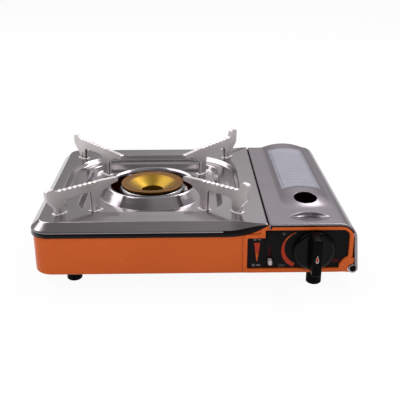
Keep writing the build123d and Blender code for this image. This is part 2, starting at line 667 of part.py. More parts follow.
def gas_nozzle():
    """Brass jet: a hexagon on the pipe's end and a drilled tip that reaches into the bell."""
    hexagon = along_x(Pos(OUTLET_Y, TUBE_Z) * RegularPolygon(PIPE_R + 1.6, 6), NOZZLE_END - 3.5, NOZZLE_END)
    nozzle = hexagon + rod_x(OUTLET_Y, TUBE_Z, 2.4, PARTITION_X - SHEET - 3, NOZZLE_END - 3.5)
    return nozzle - rod_x(OUTLET_Y, TUBE_Z, 0.5, PARTITION_X - 10, NOZZLE_END + 1)


def burner_bracket():
    """Folded strip that carries the bowl on the case bottom."""
    leg = BURNER_FOOT - 8
    foot = leg + 16
    low = CASE_FLOOR
    right = [(foot, low), (foot, low + PLATE), (leg + PLATE, low + PLATE), (leg + PLATE, BOWL_LOW)]
    inner = [(-leg, low), (-leg, BOWL_LOW - PLATE), (leg, BOWL_LOW - PLATE), (leg, low)]
    points = inner + right + [(-x, z) for x, z in reversed(right)]
    strip = Pos(BURNER_X, 0) * make_face(Polyline(*points, close=True))
    bracket = along_y(strip, BURNER_Y - 11, BURNER_Y + 11)
    return bracket - holes(base_screw_places(), (0, 0, 1), 8) - holes(burner_screw_places(), (0, 0, 1), 5)


# ---- Spark ignition ------------------------------------------------------------------------------
def electrode_insulator():
    x, y = electrode_place()
    top = SPARK_Z - 1.6
    body = rod_z(x, y, INSULATOR_R, top - INSULATOR_LENGTH, top - 2.5)
    body = body + rod_z(x, y, INSULATOR_R - 1, top - 2.5, top)
    return body - rod_z(x, y, 0.8, WIRE_LOW, SPARK_Z)


def electrode_wire():
    """Wire through the insulator, bent over towards the flame slots."""
    x, y = electrode_place()
    tip = Vector(x, y, SPARK_Z)
    inward = (Vector(BURNER_X, BURNER_Y, SPARK_Z) - tip).normalized() * (ELECTRODE_R - HEAD_R - SPARK_GAP)
    radius = 0.75
    return rod_z(x, y, radius, WIRE_LOW, SPARK_Z + radius) + rod(tip, tip + inward, radius)


def lead_points():
    """Route of the ignition lead: down, along the case bottom and up to the igniter."""
    x, y = electrode_place()
    low = CASE_FLOOR + 4
    end = IGNITER_START + 6
    return [(x, y, WIRE_LOW), (x, y, low), (x + 28, y - 34, low), (x + 56, CAM_Y + 12, low),
            (end, CAM_Y, low), (end, CAM_Y, AXIS_Z - IGNITER_R)]


def largest_radii(points):
    """For each corner, the largest arc that leaves a tenth of the shorter run straight."""
    radii = []
    for before, corner, after in zip(points, points[1:], points[2:]):
        arriving = Vector(*corner) - Vector(*before)
        leaving = Vector(*after) - Vector(*corner)
        turn = radians(arriving.get_angle(leaving))
        radii.append(0.45 * min(arriving.length, leaving.length) / tan(turn / 2))
    return radii


def ignition_lead():
    points = lead_points()
    radii = largest_radii(points)
    lead = swept(points, radii, LEAD_R)
    length = FilletPolyline(*points, radius=radii).length
    print("ignition lead: radii", [round(r, 1) for r in radii], "length", round(length, 1),
          "volume over section", round(lead.volume / (pi * LEAD_R**2), 1))
    return lead


def piezo_igniter():
    """Round barrel under the bracket's tab, held by two pegs."""
    body = rod_x(CAM_Y, AXIS_Z, IGNITER_R, IGNITER_START, IGNITER_END)
    body = body + block(IGNITER_START + 2, IGNITER_END - 2, CAM_Y - 3.4, CAM_Y + 3.4, AXIS_Z, IGNITER_TAB)
    for x in IGNITER_PEGS:
        body = body + rod_z(x, CAM_Y, 1.4, IGNITER_TAB - 1, IGNITER_TAB + PLATE + 1.4)
    nipple_x = IGNITER_START + 6
    low = AXIS_Z - IGNITER_R
    body = body + rod_z(nipple_x, CAM_Y, LEAD_R + 1.2, low - 4, low + 2)
    body = body - rod_z(nipple_x, CAM_Y, LEAD_R + 0.05, low - 5, low)
    return body - rod_x(CAM_Y, AXIS_Z, PLUNGER_R + PIN_FIT, IGNITER_START + 4, IGNITER_END + 1)


def igniter_plunger():
    end = IGNITER_END + PLUNGER_HEAD
    return rod_x(CAM_Y, AXIS_Z, PLUNGER_R, IGNITER_END - 6, end) + rod_x(CAM_Y, AXIS_Z, PLUNGER_R + 0.8, end - 2.6, end)


def valve_stem():
    """Knob's shaft into the regulator, with the round cam that pushes the igniter's plunger."""
    stem = rod_y(AXIS_X, AXIS_Z, STEM_R, KNOB_FRONT + 3, CAP_BACK - 0.4)
    return stem + rod_y(AXIS_X + CAM_OFFSET, AXIS_Z, CAM_R, CAM_Y - CAM_WIDTH / 2, CAM_Y + CAM_WIDTH / 2)


def knob():
    disc = rod_y(AXIS_X, AXIS_Z, KNOB_R, KNOB_BACK - KNOB_DISC, KNOB_BACK)
    disc = chamfer(disc.faces().sort_by(Axis.Y)[0].edges(), 1.0)
    half = GRIP_WIDTH / 2
    reach = KNOB_R - 0.5
    bar = outline((-half, -reach, 3.4), (half, -reach, 3.4), (half, reach, 3.4), (-half, reach, 3.4))
    grip = along_y(Pos(AXIS_X, AXIS_Z) * bar, KNOB_FRONT, KNOB_BACK - KNOB_DISC + 0.5)
    grip = fillet(grip.faces().sort_by(Axis.Y)[0].edges(), 1.6)
    hub = rod_y(AXIS_X, AXIS_Z, NECK_R, KNOB_BACK - 1, PANEL_FACE - 0.5)
    return disc + grip + hub - rod_y(AXIS_X, AXIS_Z, STEM_R + PIN_FIT, KNOB_FRONT + 2.7, SIDE_Y)


# ---- Regulator -----------------------------------------------------------------------------------
def regulator_body():
    body = rod_y(AXIS_X, AXIS_Z, REGULATOR_R, BODY_FRONT, BODY_BACK) + rod_y(AXIS_X, AXIS_Z, BOSS_R, BODY_BACK, BOSS_END)
    body = body - rod_y(AXIS_X, AXIS_Z, INLET_R, BOSS_END - INLET_DEPTH, BOSS_END + 1)
    body = body - rod_y(AXIS_X, AXIS_Z + GAS_PASSAGE_OFF, GAS_PASSAGE_R, BODY_FRONT, BOSS_END - INLET_DEPTH + 1)
    body = body - rod_y(AXIS_X, AXIS_Z, REGULATOR_R - 7, BODY_FRONT - 1, BODY_FRONT + 6)
    socket = AXIS_X - REGULATOR_R + 1
    body = body - rod_x(OUTLET_Y, TUBE_Z, PIPE_R + 0.05, TROUGH_LEFT, socket)
    body = body - rod_x(OUTLET_Y, TUBE_Z, PIPE_R - 1.2, TROUGH_LEFT, socket + 8)
    return body - holes(regulator_screw_places(), (0, 1, 0), 40, small=True)


def regulator_diaphragm():
    disc = rod_y(AXIS_X, AXIS_Z, REGULATOR_R, CAP_BACK, BODY_FRONT)
    return disc - holes(regulator_screw_places(), (0, 1, 0), 40, small=True)


def regulator_cap():
    cap = rod_y(AXIS_X, AXIS_Z, REGULATOR_R, CAP_FRONT, CAP_BACK) + rod_y(AXIS_X, AXIS_Z, NECK_R, NECK_FRONT, CAP_FRONT)
    cap = cap - rod_y(AXIS_X, AXIS_Z, REGULATOR_R - 7, CAP_BACK - 3.5, CAP_BACK + 1)
    cap = cap - rod_y(AXIS_X, AXIS_Z, STEM_R + PIN_FIT, NECK_FRONT - 1, CAP_BACK)
    return cap - holes(regulator_screw_places(), (0, 1, 0), 40, small=True)


def regulator_screws():
    length = BRACKET_BACK - CAP_FRONT + 1
    return [screw(p, (0, 1, 0), length, small=True) for p in regulator_screw_places()]


def inlet_seal():
    return rod_y(AXIS_X, AXIS_Z, 7.0, BOSS_END, CARTRIDGE_FRONT) - rod_y(AXIS_X, AXIS_Z, INLET_R + 0.5, BOSS_END - 1, 0)


def regulator_bracket():
    """Upright wall with a foot, and a tab at its upper left for the igniter."""
    left = IGNITER_START - 1
    right = AXIS_X + 29
    wall = block(left, right, BODY_BACK, BRACKET_BACK, CASE_FLOOR, AXIS_Z + REGULATOR_R + 2.8)
    foot = block(left + 2, right, BODY_BACK - 16, BRACKET_BACK, CASE_FLOOR, CASE_FLOOR + PLATE)
    arm = block(left, IGNITER_END - 1, CAM_Y - 4, BRACKET_BACK, IGNITER_TAB, IGNITER_TAB + PLATE)
    bracket = wall + foot + arm - rod_y(AXIS_X, AXIS_Z, BOSS_R + 0.2, -SIDE_Y, SIDE_Y)
    for x in IGNITER_PEGS:
        bracket = bracket - rod_z(x, CAM_Y, 1.5, IGNITER_TAB - 1, IGNITER_TAB + 3)
    for x, z in guide_pin_places():
        bracket = bracket - rod_y(x, z, 2 + PIN_FIT, BODY_BACK - 1, BRACKET_BACK + 1)
    bracket = bracket - holes(regulator_screw_places(), (0, 1, 0), 40, small=True)
    return bracket - holes(base_screw_places(), (0, 0, 1), 5)


def cartridge_key():
    """Tab that the notch in the cartridge's collar goes on."""
    low = AXIS_Z + 17.8
    tab = block(AXIS_X - 3, AXIS_X + 3, BRACKET_BACK, CARTRIDGE_FRONT - 1, low, low + PLATE)
    return tab + block(AXIS_X - 3, AXIS_X + 3, BRACKET_BACK, BRACKET_BACK + PLATE, low, low + 6)


# ---- Inside the case -----------------------------------------------------------------------------
def partition():
    """Steel wall between the burner and the cartridge."""
    left = PARTITION_X - SHEET
    front = NECK_FRONT + 8
    back = WALL_Y - SHEET - GAP - CASE_ROUND
    wall = block(left, PARTITION_X, front, back, CASE_FLOOR, DECK - SHEET - GAP)
    foot = block(left - 14, PARTITION_X, front, back - 12, CASE_FLOOR, CASE_FLOOR + SHEET)
    wall = wall + foot - rod_x(OUTLET_Y, TUBE_Z, 2.7, left - 1, PARTITION_X + 1)
    wall = wall - holes(base_screw_places(), (0, 0, 1), 5)
    return wall - holes(plate_screw_places() + [catch_screw_place()], (1, 0, 0), 3, small=True)


def lid_catch():
    """Spring leaf that bears on the lid's turned left edge."""
    x = PARTITION_X
    leaf = make_face(Polyline(
        (x, DECK - 22), (x, DECK - 11.6), (x + 1.9, DECK - 7.4), (x + 1.9, DECK - 2.8), (x + 2.5, DECK - 2.8),
        (x + 2.5, DECK - 3.6), (LID_LEFT - GAP, DECK - 4.3), (x + 2.5, DECK - 5), (x + 2.5, DECK - 7.7),
        (x + 0.6, DECK - 11.9), (x + 0.6, DECK - 22), close=True))
    return along_y(leaf, CATCH_Y - 6, CATCH_Y + 6) - holes([catch_screw_place()], (1, 0, 0), 3, small=True)


def cartridge_cradle():
    """Base on the trough's floor with two ribs under the cartridge."""
    low = TROUGH_LOW + SHEET
    rib_top = AXIS_Z - sqrt(CARTRIDGE_R**2 - RIB_OFFSET**2) - GAP
    front = CARTRIDGE_FRONT + 25
    back = CARTRIDGE_FRONT + CARTRIDGE_LENGTH - 23
    cradle = block(AXIS_X - RIB_OFFSET - 4, AXIS_X + RIB_OFFSET + 4, front, back, low, low + SHEET)
    for side in (-1, 1):
        x = AXIS_X + side * RIB_OFFSET
        cradle = cradle + block(x - RIB / 2, x + RIB / 2, front, back, low, rib_top)
    return cradle


# ---- Control panel and lock ----------------------------------------------------------------------
def control_panel():
    """Plate behind the case wall with a pad that fills the opening."""
    panel = along_y(panel_outline(PANEL_FLANGE), INNER_FRONT, PANEL_BACK)
    panel = panel + along_y(panel_outline(-GAP), PANEL_FACE, INNER_FRONT + 0.5)
    panel = panel - rod_y(AXIS_X, AXIS_Z, STEM_R + 1, -SIDE_Y - 5, PANEL_BACK + 1)
    low = LEVER_TIP_Z - LEVER_TIP / 2 - 0.4
    high = LEVER_TIP_Z + LEVER_TIP / 2 + LEVER_TRAVEL + 0.4
    panel = panel - block(SLOT_X - SLOT_WIDTH / 2, SLOT_X + SLOT_WIDTH / 2, -SIDE_Y - 5, PANEL_BACK + 1, low, high)
    return panel - holes(panel_screw_places(), (0, -1, 0), 2.7, small=True)


def lever_guide():
    """Channel behind the panel that the lever's plate slides in, with a window for its lug."""
    inner = LEVER_WIDTH / 2 + GAP
    outer = inner + 1
    back = LEVER_BACK + GAP
    low = LEVER_LOW - 4
    guide = block(SLOT_X - outer, SLOT_X + outer, PANEL_BACK, back + 1, low, GUIDE_TOP + 1)
    guide = guide - block(SLOT_X - inner, SLOT_X + inner, PANEL_BACK - 1, back, low - 1, GUIDE_TOP)
    guide = guide - block(SLOT_X - 1.6, SLOT_X + 1.6, back - 1, back + 2,
                          LOCK_PIN_Z - 2.4, LOCK_PIN_Z + LEVER_TRAVEL + 2.4)
    guide = guide + block(SLOT_X - outer - 4.2, SLOT_X - outer, PANEL_BACK, GUIDE_FOOT, low + 5, low + 35)
    guide = guide + block(SLOT_X - outer, SLOT_X + outer, PANEL_BACK, GUIDE_FOOT, GUIDE_TOP + 1, GUIDE_TOP + 5.2)
    return guide - holes(panel_screw_places(), (0, -1, 0), 3, small=True)


def locking_lever():
    """Sliding plate with the finger tip in front and the lock pin behind."""
    plate = block(SLOT_X - LEVER_WIDTH / 2, SLOT_X + LEVER_WIDTH / 2, LEVER_FRONT, LEVER_BACK,
                  LEVER_LOW, LEVER_LOW + LEVER_LENGTH)
    half = SLOT_WIDTH / 2 - 0.25
    tip = block(SLOT_X - half, SLOT_X + half, -SIDE_Y - LEVER_REACH, LEVER_FRONT + 0.5,
                LEVER_TIP_Z - LEVER_TIP / 2, LEVER_TIP_Z + LEVER_TIP / 2)
    tip = fillet(tip.faces().sort_by(Axis.Y)[0].edges(), 0.8)
    lug = block(SLOT_X - 1.2, SLOT_X + 1.2, LEVER_BACK - 0.5, LOCK_PIN_Y + LOCK_PIN_R, LOCK_PIN_Z - 2, LOCK_PIN_Z + 2)
    return plate + tip + lug + rod_x(LOCK_PIN_Y, LOCK_PIN_Z, LOCK_PIN_R, SLOT_X, ARM_X + PLATE + 0.5)


def clamp_slot():
    """Inclined slot that turns the lever's rise into the clamp's short travel."""
    radius = LOCK_PIN_R + GAP
    start = Vector(LOCK_PIN_Y, LOCK_PIN_Z)
    run = Vector(-LOCK_TRAVEL, LEVER_TRAVEL)
    across = Vector(run.Y, -run.X).normalized() * radius
    corners = [start + across, start + run + across, start + run - across, start - across]
    face = make_face(Polyline(*[(p.X, p.Y) for p in corners], close=True))
    face = face + Pos(start.X, start.Y) * Circle(radius) + Pos(start.X + run.X, start.Y + run.Y) * Circle(radius)
    return along_x(face, ARM_X - 1, ARM_X + PLATE + 1)


def cartridge_clamp():
    """Fork behind the bracket that pulls the cartridge's collar to the inlet, with its slotted arm."""
    low = AXIS_Z - 20
    arm = block(ARM_X, ARM_X + PLATE, LOCK_PIN_Y - LOCK_TRAVEL - 3.5, LOCK_PIN_Y + 4.5,
                LOCK_PIN_Z - 5, LOCK_PIN_Z + LEVER_TRAVEL + 4)
    arm = arm + block(ARM_X, ARM_X + PLATE, LOCK_PIN_Y, CLAMP_BACK, low, low + 7) - clamp_slot()
    fork = block(ARM_X, AXIS_X + 24, CLAMP_FRONT, CLAMP_BACK, low, AXIS_Z + 8)
    fork = fork - rod_y(AXIS_X, AXIS_Z, BOSS_R + 1, -SIDE_Y, 0)
    fork = fork - block(AXIS_X - BOSS_R - 1, AXIS_X + BOSS_R + 1, -SIDE_Y, 0, AXIS_Z, DECK)
    end = CARTRIDGE_FRONT + 4.5
    for side in (-1, 1):
        hook = block(21.2, 22.4, CLAMP_FRONT, end, AXIS_Z - 4, AXIS_Z + 4)
        hook = hook + block(16, 22.4, end - PLATE, end, AXIS_Z - 4, AXIS_Z + 4)
        fork = fork + Pos(AXIS_X, 0, 0) * (hook if side > 0 else mirror(hook, Plane.YZ))
    for x, z in guide_pin_places():
        fork = fork + rod_y(x, z, 2.0, BODY_BACK - LOCK_TRAVEL - 1, CLAMP_FRONT + 0.5)
    return arm + fork


# ---- Lid and hinge -------------------------------------------------------------------------------
def lid_section(inset, left):
    """Section of the lid in X and Z, as the area under its outer face moved in by inset."""
    def wall_x(z):
        return LID_RIGHT + (DECK - LID_BEND - z) * LEAN - inset * sqrt(1 + LEAN**2)
    top = DECK - inset
    return outline((left, PIN_Z, 0), (wall_x(PIN_Z), PIN_Z, 0), (wall_x(top), top, LID_BEND - inset), (left, top, 0))


def hump_radius():
    return (HUMP_HALF**2 + HUMP_HEIGHT**2) / (2 * HUMP_HEIGHT)


def hump_face(inset, height):
    half = HUMP_HALF - inset / 2
    base = DECK - 12
    edge = DECK - inset
    arc = ThreePointArc((AXIS_X - half, edge), (AXIS_X, edge + height), (AXIS_X + half, edge))
    rest = Polyline((AXIS_X + half, edge), (AXIS_X + half, base), (AXIS_X - half, base), (AXIS_X - half, edge))
    return make_face([arc, rest])


def lid_block(inset, left, y):
    """Solid under the lid's outer face moved in by inset, with its hump, from -y to y."""
    full = HUMP_START - SIDE_Y
    solid = along_y(lid_section(inset, left), -y, y) + along_y(hump_face(inset, HUMP_HEIGHT), full, y)
    fading = loft([Plane.XZ.offset(-full) * hump_face(inset, HUMP_HEIGHT),
                   Plane.XZ.offset(HUMP_FADE - full) * hump_face(inset, 0.05)], ruled=True)
    return solid + fading


def knuckle_room():
    half = KNUCKLE_LENGTH / 2 + 0.5
    return [rod_y(PIN_X, PIN_Z, ROLL_R + 0.9, side * KNUCKLE_Y - half, side * KNUCKLE_Y + half) for side in (-1, 1)]


def scoop(inset):
    """Oval finger scoop, larger and lower by inset."""
    rim = Ellipse(SCOOP_HALF_WIDTH + inset, SCOOP_HALF_LENGTH + inset)
    floor = Ellipse(SCOOP_HALF_WIDTH - 5 + inset, SCOOP_HALF_LENGTH - 5 + inset)
    top = DECK - inset
    return Pos(AXIS_X - 2.4, SCOOP_Y, 0) * (frustum(floor, top - SCOOP_DEPTH, rim, top) + up(rim, top, DECK + 1))


def lid():
    solid = lid_block(0, LID_LEFT, LID_Y)
    hollow = lid_block(SHEET, LID_LEFT + SHEET, LID_Y)
    inside = lid_block(LIP, LID_LEFT - 1, LID_Y + 1)
    ends = block(0, LID_RIGHT + 20, -LID_Y, SHEET - LID_Y, 0, 2 * DECK)
    ends = ends + block(0, LID_RIGHT + 20, LID_Y - SHEET, LID_Y, 0, 2 * DECK)
    low_edge = block(LID_LEFT - 1, LID_LEFT + LIP, -LID_Y, LID_Y, 0, DECK - RIM_FLANGE + 1)
    for y0, y1 in ((SHEET - LID_Y, -EDGE_Y), (EDGE_Y, LID_Y - SHEET)):
        low_edge = low_edge + block(LID_LEFT - 1, LID_LEFT + LIP, y0, y1, 0, DECK - SHEET)
    shell = (solid - hollow) + ((solid & ends) - inside) - low_edge
    shell = shell - rod_z(AXIS_X, LID_HOLE_Y, LID_HOLE_R, DECK - 5, DECK + 12)
    shell = shell + (scoop(SHEET) & block(0, LID_RIGHT, -LID_Y, 0, 0, DECK)) - scoop(0)
    shell = shell + rod_y(PIN_X, PIN_Z, ROLL_R, -LID_Y, LID_Y)
    return shell - rod_y(PIN_X, PIN_Z, PIN_R + PIN_FIT, -LID_Y - 1, LID_Y + 1) - knuckle_room()


def lid_label():
    """Thin plate that follows the hump."""
    radius = hump_radius()
    low = radius + 0.02
    band = Circle(low + LABEL_THICKNESS) - Circle(low)
    band = band & Pos(0, radius) * Rectangle(LABEL_WIDTH, radius)
    middle = DECK + HUMP_HEIGHT - radius
    return along_y(Pos(AXIS_X, middle) * band, LABEL_Y - LABEL_LENGTH / 2, LABEL_Y + LABEL_LENGTH / 2)


def hinge_pin():
    return rod_y(PIN_X, PIN_Z, PIN_R, -LID_Y - 0.6, PIN_BACK)


def hinge_bracket(side):
    """Plate on the case's right face with a knuckle round the pin."""
    y0 = side * KNUCKLE_Y - KNUCKLE_LENGTH / 2
    y1 = side * KNUCKLE_Y + KNUCKLE_LENGTH / 2
    low = PIN_Z - ROLL_R + 0.1
    bracket = block(RELIEF_X, RELIEF_X + 2, y0, y1, TROUGH_LOW + 1, PIN_Z)
    bracket = bracket + block(RELIEF_X, PIN_X, y0, y1, low, low + 2)
    bracket = bracket + rod_y(PIN_X, PIN_Z, ROLL_R - 0.1, y0, y1) - rod_y(PIN_X, PIN_Z, PIN_R + PIN_FIT, y0 - 1, y1 + 1)
    return bracket - holes(hinge_screw_places(), (-1, 0, 0), 3)


# ---- Feet ----------------------------------------------------------------------------------------
def foot(place):
    x, y = place
    rubber = rod_z(x, y, FOOT_R, 0, FOOT_HEIGHT)
    rubber = chamfer(rubber.faces().sort_by(Axis.Z)[0].edges(), 1.0)
    rubber = rubber - rod_z(x, y, SCREW_HEAD_R + 0.6, -1, FOOT_SEAT)
    return rubber - rod_z(x, y, SCREW_R + SCREW_ROOM, 0, FOOT_HEIGHT + 1)


# ---- Pieces --------------------------------------------------------------------------------------
def main():
    os.makedirs("parts", exist_ok=True)
    save("base_case", base_case())
    save("top_plate", top_plate())
    for quarter, name in enumerate(("back_right", "back_left", "front_left", "front_right")):
        horn = HORN_RIGHT if "right" in name else HORN_LEFT
        save(f"pan_support_{name}", pan_support(quarter, horn))
    save("burner_head", burner_head())
    save("burner_bowl", burner_bowl())
    save("burner_bracket", burner_bracket())
    save("burner_screws", Compound([screw(p, (0, 0, -1), 6) for p in burner_screw_places()]))
    save("base_screws", Compound([screw(p, (0, 0, 1), 6) for p in base_screw_places()]))
    save("electrode_insulator", electrode_insulator())
    save("electrode_wire", electrode_wire())
    save("ignition_lead", ignition_lead())
    save("piezo_igniter", piezo_igniter())
    save("igniter_plunger", igniter_plunger())
    save("valve_stem", valve_stem())
    save("knob", knob())
    save("regulator_body", regulator_body())
    save("regulator_diaphragm", regulator_diaphragm())
    save("regulator_cap", regulator_cap())
    save("regulator_screws", Compound(regulator_screws()))
    save("inlet_seal", inlet_seal())
    save("regulator_bracket", regulator_bracket())
    save("cartridge_key", cartridge_key())
    save("cartridge_cradle", cartridge_cradle())
    save("gas_pipe", gas_pipe())
    save("gas_nozzle", gas_nozzle())
    save("venturi", venturi())
    save("mixing_tube", mixing_tube())
    save("partition", partition())
    sheet_screws = [screw(p, (-1, 0, 0), 4, small=True) for p in plate_screw_places() + [catch_screw_place()]]
    save("plate_screws", Compound(sheet_screws))
    save("lid_catch", lid_catch())
    save("control_panel", control_panel())
    save("panel_screws", Compound([screw(p, (0, -1, 0), 2.5, small=True) for p in panel_screw_places()]))
    save("lever_guide", lever_guide())
    save("locking_lever", locking_lever())
    save("cartridge_clamp", cartridge_clamp())
    save("lid", lid())
    save("lid_label", lid_label())
    save("hinge_pin", hinge_pin())
    save("hinge_bracket_front", hinge_bracket(-1))
    save("hinge_bracket_back", hinge_bracket(1))
    save("hinge_screws", Compound([screw(p, (-1, 0, 0), 5) for p in hinge_screw_places()]))
    for name, place in foot_places().items():
        save(f"foot_{name}", foot(place))
    save("foot_screws", Compound([screw(p, (0, 0, 1), FOOT_HEIGHT) for p in foot_screw_places()]))


main()
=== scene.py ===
import bpy
import json
from math import atan2, ceil, cos, pi, radians, sin, sqrt
from mathutils import Matrix, Vector

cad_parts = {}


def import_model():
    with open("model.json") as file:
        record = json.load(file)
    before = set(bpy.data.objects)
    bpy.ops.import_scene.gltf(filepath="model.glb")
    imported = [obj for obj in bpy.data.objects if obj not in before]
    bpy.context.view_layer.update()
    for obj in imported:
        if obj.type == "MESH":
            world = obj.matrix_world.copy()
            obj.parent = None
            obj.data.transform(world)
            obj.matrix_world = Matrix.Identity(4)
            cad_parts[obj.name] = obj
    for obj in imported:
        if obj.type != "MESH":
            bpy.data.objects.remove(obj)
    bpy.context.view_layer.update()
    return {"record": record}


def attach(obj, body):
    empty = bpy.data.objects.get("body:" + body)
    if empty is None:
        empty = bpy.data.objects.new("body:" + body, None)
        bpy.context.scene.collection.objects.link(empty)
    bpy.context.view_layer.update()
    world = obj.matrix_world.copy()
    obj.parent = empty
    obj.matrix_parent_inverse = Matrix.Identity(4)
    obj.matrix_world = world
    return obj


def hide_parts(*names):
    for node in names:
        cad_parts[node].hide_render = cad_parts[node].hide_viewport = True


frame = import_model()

# Sizes are in millimetres in the case's own frame: X = 0 and Y = 0 at the middle of the case,
# Z up from the table. at() turns them into the shared frame in metres.
SHIFT = Vector((-3.8, 10.9, 0))
DECK = 72.0
BASIN_FLOOR = 61.0
SHEET = 0.8
LEFT, SEAM, SIDE_Y = -170.0, 79.0, 133.0
BURNER = Vector((-46.0, -5.0, 0))
AXIS_X, AXIS_Z = 129.0, 42.2
PANEL_Y = -131.5
PIN_X, PIN_Z, ROLL_R = 172.3, 19.8, 5.3


def at(x, y, z):
    return (Vector((x, y, z)) + SHIFT) / 1000


# ---- Mesh helpers --------------------------------------------------------------------------------
def add(name, verts, faces, mats, body="stove", replaces=(), groups=None, smooth=True):
    """Mesh object from case-frame points; groups gives each face's material index."""
    mesh = bpy.data.meshes.new(name)
    mesh.from_pydata([at(*v) for v in verts], [], faces)
    for mat in mats:
        mesh.materials.append(mat)
    if groups:
        mesh.polygons.foreach_set("material_index", groups)
    mesh.polygons.foreach_set("use_smooth", [smooth] * len(mesh.polygons))
    mesh.validate()
    obj = bpy.data.objects.new(name, mesh)
    bpy.context.scene.collection.objects.link(obj)
    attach(obj, body)
    if replaces:
        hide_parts(*replaces)
    return obj


def grid(rows, closed=False, flip=False):
    """Faces between rows of equally many points, numbered in order."""
    count = len(rows[0])
    faces = []
    for i in range(len(rows) - 1):
        for j in range(count if closed else count - 1):
            a, b = i * count + j, i * count + (j + 1) % count
            quad = (a, b, b + count, a + count)
            faces.append(quad[::-1] if flip else quad)
    return faces


def rounded_line(points, steps=4, guard=0.35):
    """Polyline through (u, v, radius) points with its corners rounded and flat runs guarded."""
    out = [Vector(points[0][:2])]
    for before, here, after in zip(points, points[1:], points[2:]):
        p, q, r = Vector(before[:2]), Vector(here[:2]), Vector(after[:2])
        a, b = (p - q), (r - q)
        turn = a.angle(b)
        if here[2] == 0 or abs(turn - pi) < 1e-3:
            out.append(q)
            continue
        reach = min(here[2] / max(sin(turn / 2) / cos(turn / 2), 1e-6), 0.46 * a.length, 0.46 * b.length)
        start, end = q + a.normalized() * reach, q + b.normalized() * reach
        if a.length > reach + 2 * guard:
            out.append(start + a.normalized() * guard)
        for n in range(steps + 1):
            t = n / steps
            out.append(start * (1 - t) ** 2 + q * 2 * t * (1 - t) + end * t ** 2)
        if b.length > reach + 2 * guard:
            out.append(end + b.normalized() * guard)
    out.append(Vector(points[-1][:2]))
    return out


def solidify(obj, thickness=SHEET):
    """Thicken a sheet inwards from its outer face."""
    mod = obj.modifiers.new("thickness", "SOLIDIFY")
    mod.thickness = thickness / 1000
    mod.offset = -1.0


def lathe(points, count, centre, axis="Z"):
    """Rows of points turned about a vertical axis, or about one along Y."""
    rows = []
    for r, h in points:
        row = []
        for n in range(count):
            a = 2 * pi * n / count
            if axis == "Z":
                row.append((centre[0] + r * cos(a), centre[1] + r * sin(a), centre[2] + h))
            else:
                row.append((centre[0] + r * cos(a), centre[1] + h, centre[2] + r * sin(a)))
        rows.append(row)
    return rows


def flat(rows):
    return [p for row in rows for p in row]


# ---- Materials -----------------------------------------------------------------------------------
def new_node(tree, kind, settings=None, **inputs):
    """Shader node whose inputs, by name or as _0 and _1, take a value or another node's socket."""
    made = tree.nodes.new(kind)
    for key, value in (settings or {}).items():
        setattr(made, key, value)
    for key, value in inputs.items():
        socket = made.inputs[int(key[1:])] if key[0] == "_" else made.inputs[key]
        if isinstance(value, bpy.types.NodeSocket):
            tree.links.new(value, socket)
        else:
            socket.default_value = value
    return made


def set_stops(ramp, stops):
    """Grey levels of a colour ramp, as (position, level) pairs."""
    while len(ramp.elements) < len(stops):
        ramp.elements.new(0.5)
    for element, (place, level) in zip(ramp.elements, stops):
        element.position = place
        element.color = (level, level, level, 1)


class Shader:
    """Principled material with object coordinates in millimetres and a few node shortcuts."""

    def __init__(self, name, **values):
        self.mat = bpy.data.materials.new(name)
        self.mat.use_nodes = True
        self.tree = self.mat.node_tree
        self.bsdf = self.tree.nodes["Principled BSDF"]
        for key, value in values.items():
            self.bsdf.inputs[key.replace("_", " ")].default_value = value
        coords = self.node("ShaderNodeTexCoord").outputs["Object"]
        self.place = self.node("ShaderNodeMapping", Vector=coords, Scale=(1000, 1000, 1000)).outputs[0]

    def node(self, kind, settings=None, **inputs):
        return new_node(self.tree, kind, settings, **inputs)

    def set(self, name, socket):
        self.tree.links.new(socket, self.bsdf.inputs[name])

    def noise(self, scale, detail=3.0, rough=0.5, stretch=(1, 1, 1), offset=0.0):
        place = self.node("ShaderNodeMapping", Vector=self.place, Scale=stretch,
                          Location=(offset, offset * 0.7, offset * 0.3)).outputs[0]
        return self.node("ShaderNodeTexNoise", Vector=place, Scale=scale, Detail=detail,
                         Roughness=rough).outputs["Fac"]

    def ramp(self, factor, *stops):
        made = self.node("ShaderNodeValToRGB", Fac=factor)
        set_stops(made.color_ramp, stops)
        return made.outputs["Color"]

    def remap(self, factor, low, high, start=0.0, end=1.0):
        return self.node("ShaderNodeMapRange", _0=factor, _1=start, _2=end, _3=low, _4=high).outputs[0]

    def math(self, operation, a, b=0.0, c=0.0):
        return self.node("ShaderNodeMath", {"operation": operation}, _0=a, _1=b, _2=c).outputs[0]

    def mix(self, factor, a, b, blend="MIX"):
        made = self.node("ShaderNodeMix", {"data_type": "RGBA", "blend_type": blend}, _0=factor)
        for index, value in ((6, a), (7, b)):
            if isinstance(value, bpy.types.NodeSocket):
                self.tree.links.new(value, made.inputs[index])
            else:
                made.inputs[index].default_value = (*value, 1)
        return made.outputs[2]

    def bump(self, height, strength, distance=0.0001):
        made = self.node("ShaderNodeBump", Height=height, Strength=strength, Distance=distance)
        self.set("Normal", made.outputs[0])

    def axis(self, name):
        return self.node("ShaderNodeSeparateXYZ", Vector=self.place).outputs[name]


